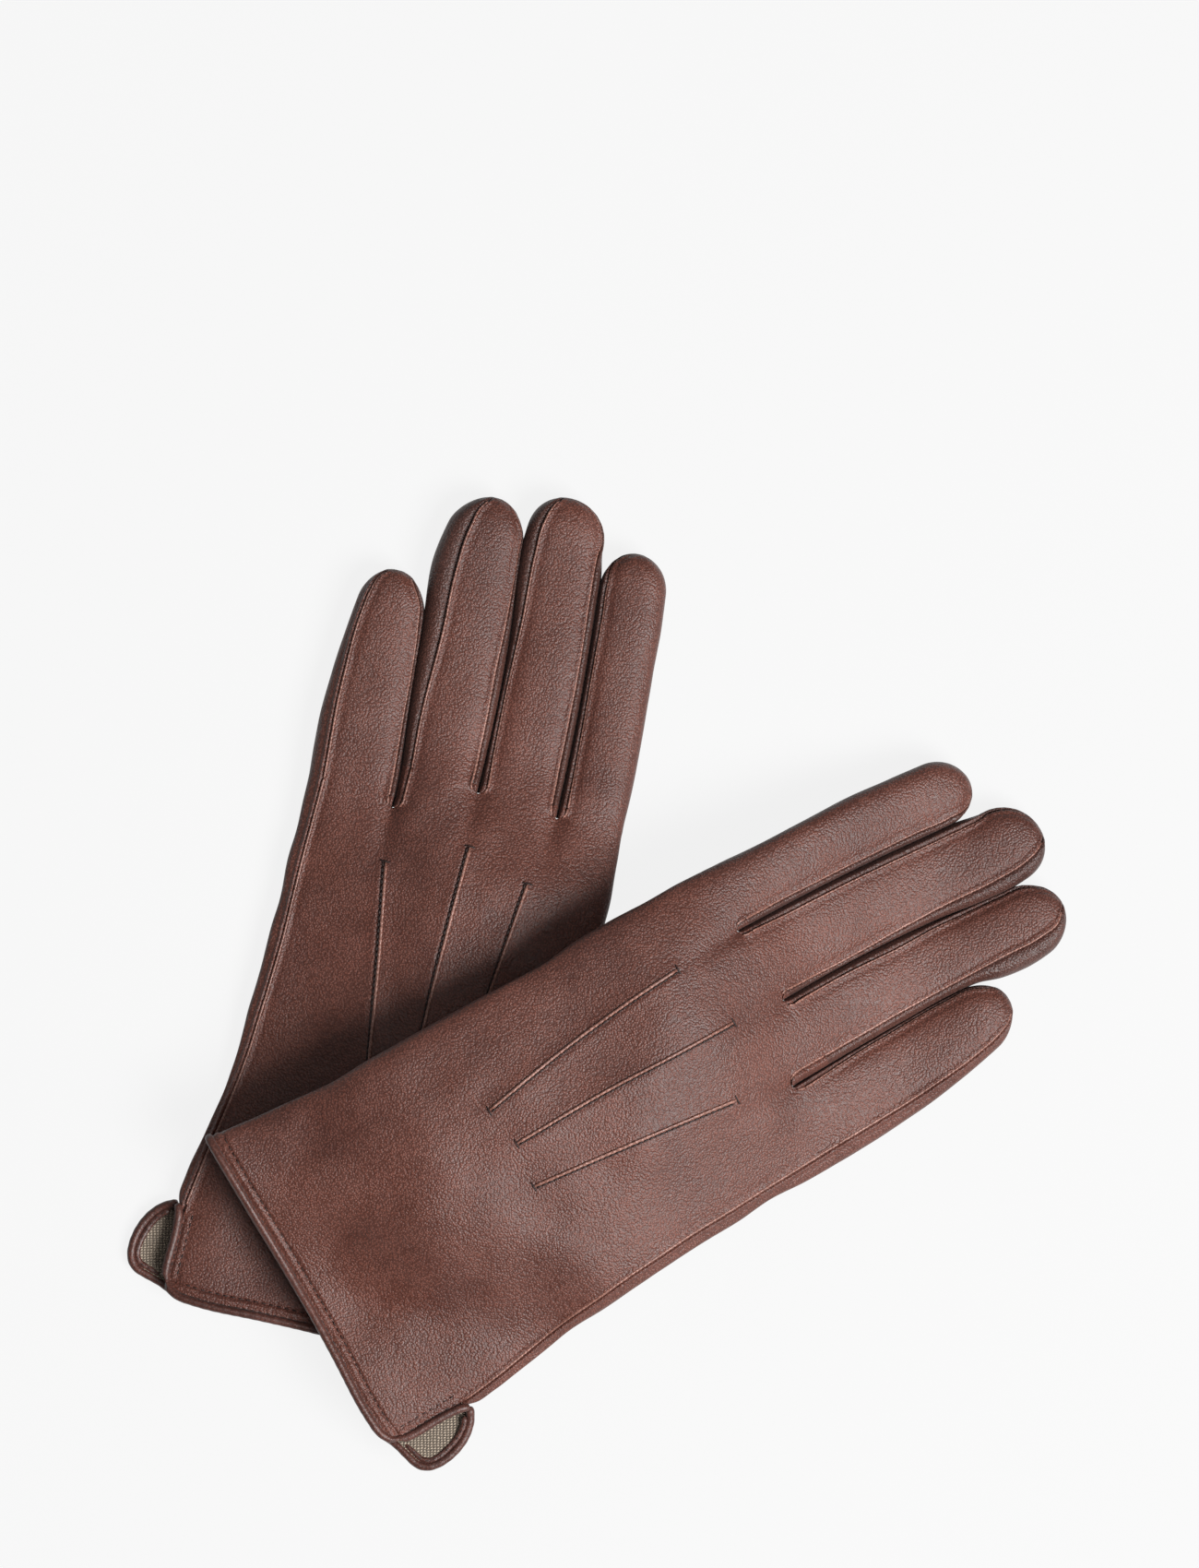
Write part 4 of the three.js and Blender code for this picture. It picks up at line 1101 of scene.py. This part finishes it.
# ---------------------------------------------------------------- camera, floor and light
# The camera looks straight down on CENTRE, and takes in VIEW_WIDTH at VIEW_HEIGHT above the surface.
CENTRE = (0.0014, 0.0556)
VIEW_WIDTH, VIEW_HEIGHT = 0.3354, 0.02
camera_data = bpy.data.cameras.new("camera")
camera = bpy.data.objects.new("camera", camera_data)
bpy.context.scene.collection.objects.link(camera)
DISTANCE = 1.9
camera_data.sensor_fit = "HORIZONTAL"
camera_data.sensor_width = 36.0
camera_data.lens = camera_data.sensor_width * (DISTANCE - VIEW_HEIGHT) / VIEW_WIDTH
camera.location = (CENTRE[0], CENTRE[1], DISTANCE)
camera.rotation_euler = (0, 0, 0)
bpy.context.scene.camera = camera

for g in GLOVES.values():
    glove_pieces(g)

corners = [(x, y, -0.0004) for x, y in ((-6, -6), (6, -6), (6, 6), (-6, 6))]
floor = mesh_object("floor", corners, [(0, 1, 2, 3)], weld=False)
paper = bpy.data.materials.new("paper")
tree, shader = nodes_of(paper)
shader.inputs["Base Color"].default_value = (0.05, 0.05, 0.05, 1)
shader.inputs["Roughness"].default_value = 0.9
shader.inputs["Specular IOR Level"].default_value = 0.1
shader.inputs["Emission Color"].default_value = (1, 1, 1, 1)
shader.inputs["Emission Strength"].default_value = 0.86
floor.data.materials.append(paper)
floor.visible_diffuse = False


def area(name, place, size, watts):
    """A soft square light that faces the middle of the pair."""
    data = bpy.data.lights.new(name, "AREA")
    data.shape = "RECTANGLE"
    data.size = data.size_y = size
    data.energy = watts
    o = bpy.data.objects.new(name, data)
    bpy.context.scene.collection.objects.link(o)
    o.location = place
    o.rotation_euler = (-Vector(place)).to_track_quat("-Z", "Y").to_euler()


area("key", (1.0, -0.62, 1.5), 0.95, 66)
area("fill", (-1.0, 0.9, 1.5), 1.2, 2.5)
area("top", (0.1, 0.3, 2.6), 1.4, 9)
world = bpy.data.worlds.new("studio")
bpy.context.scene.world = world
world.use_nodes = True
world.node_tree.nodes["Background"].inputs[0].default_value = (1, 1, 1, 1)
world.node_tree.nodes["Background"].inputs[1].default_value = 0.02
bpy.context.scene.view_settings.view_transform = "Standard"
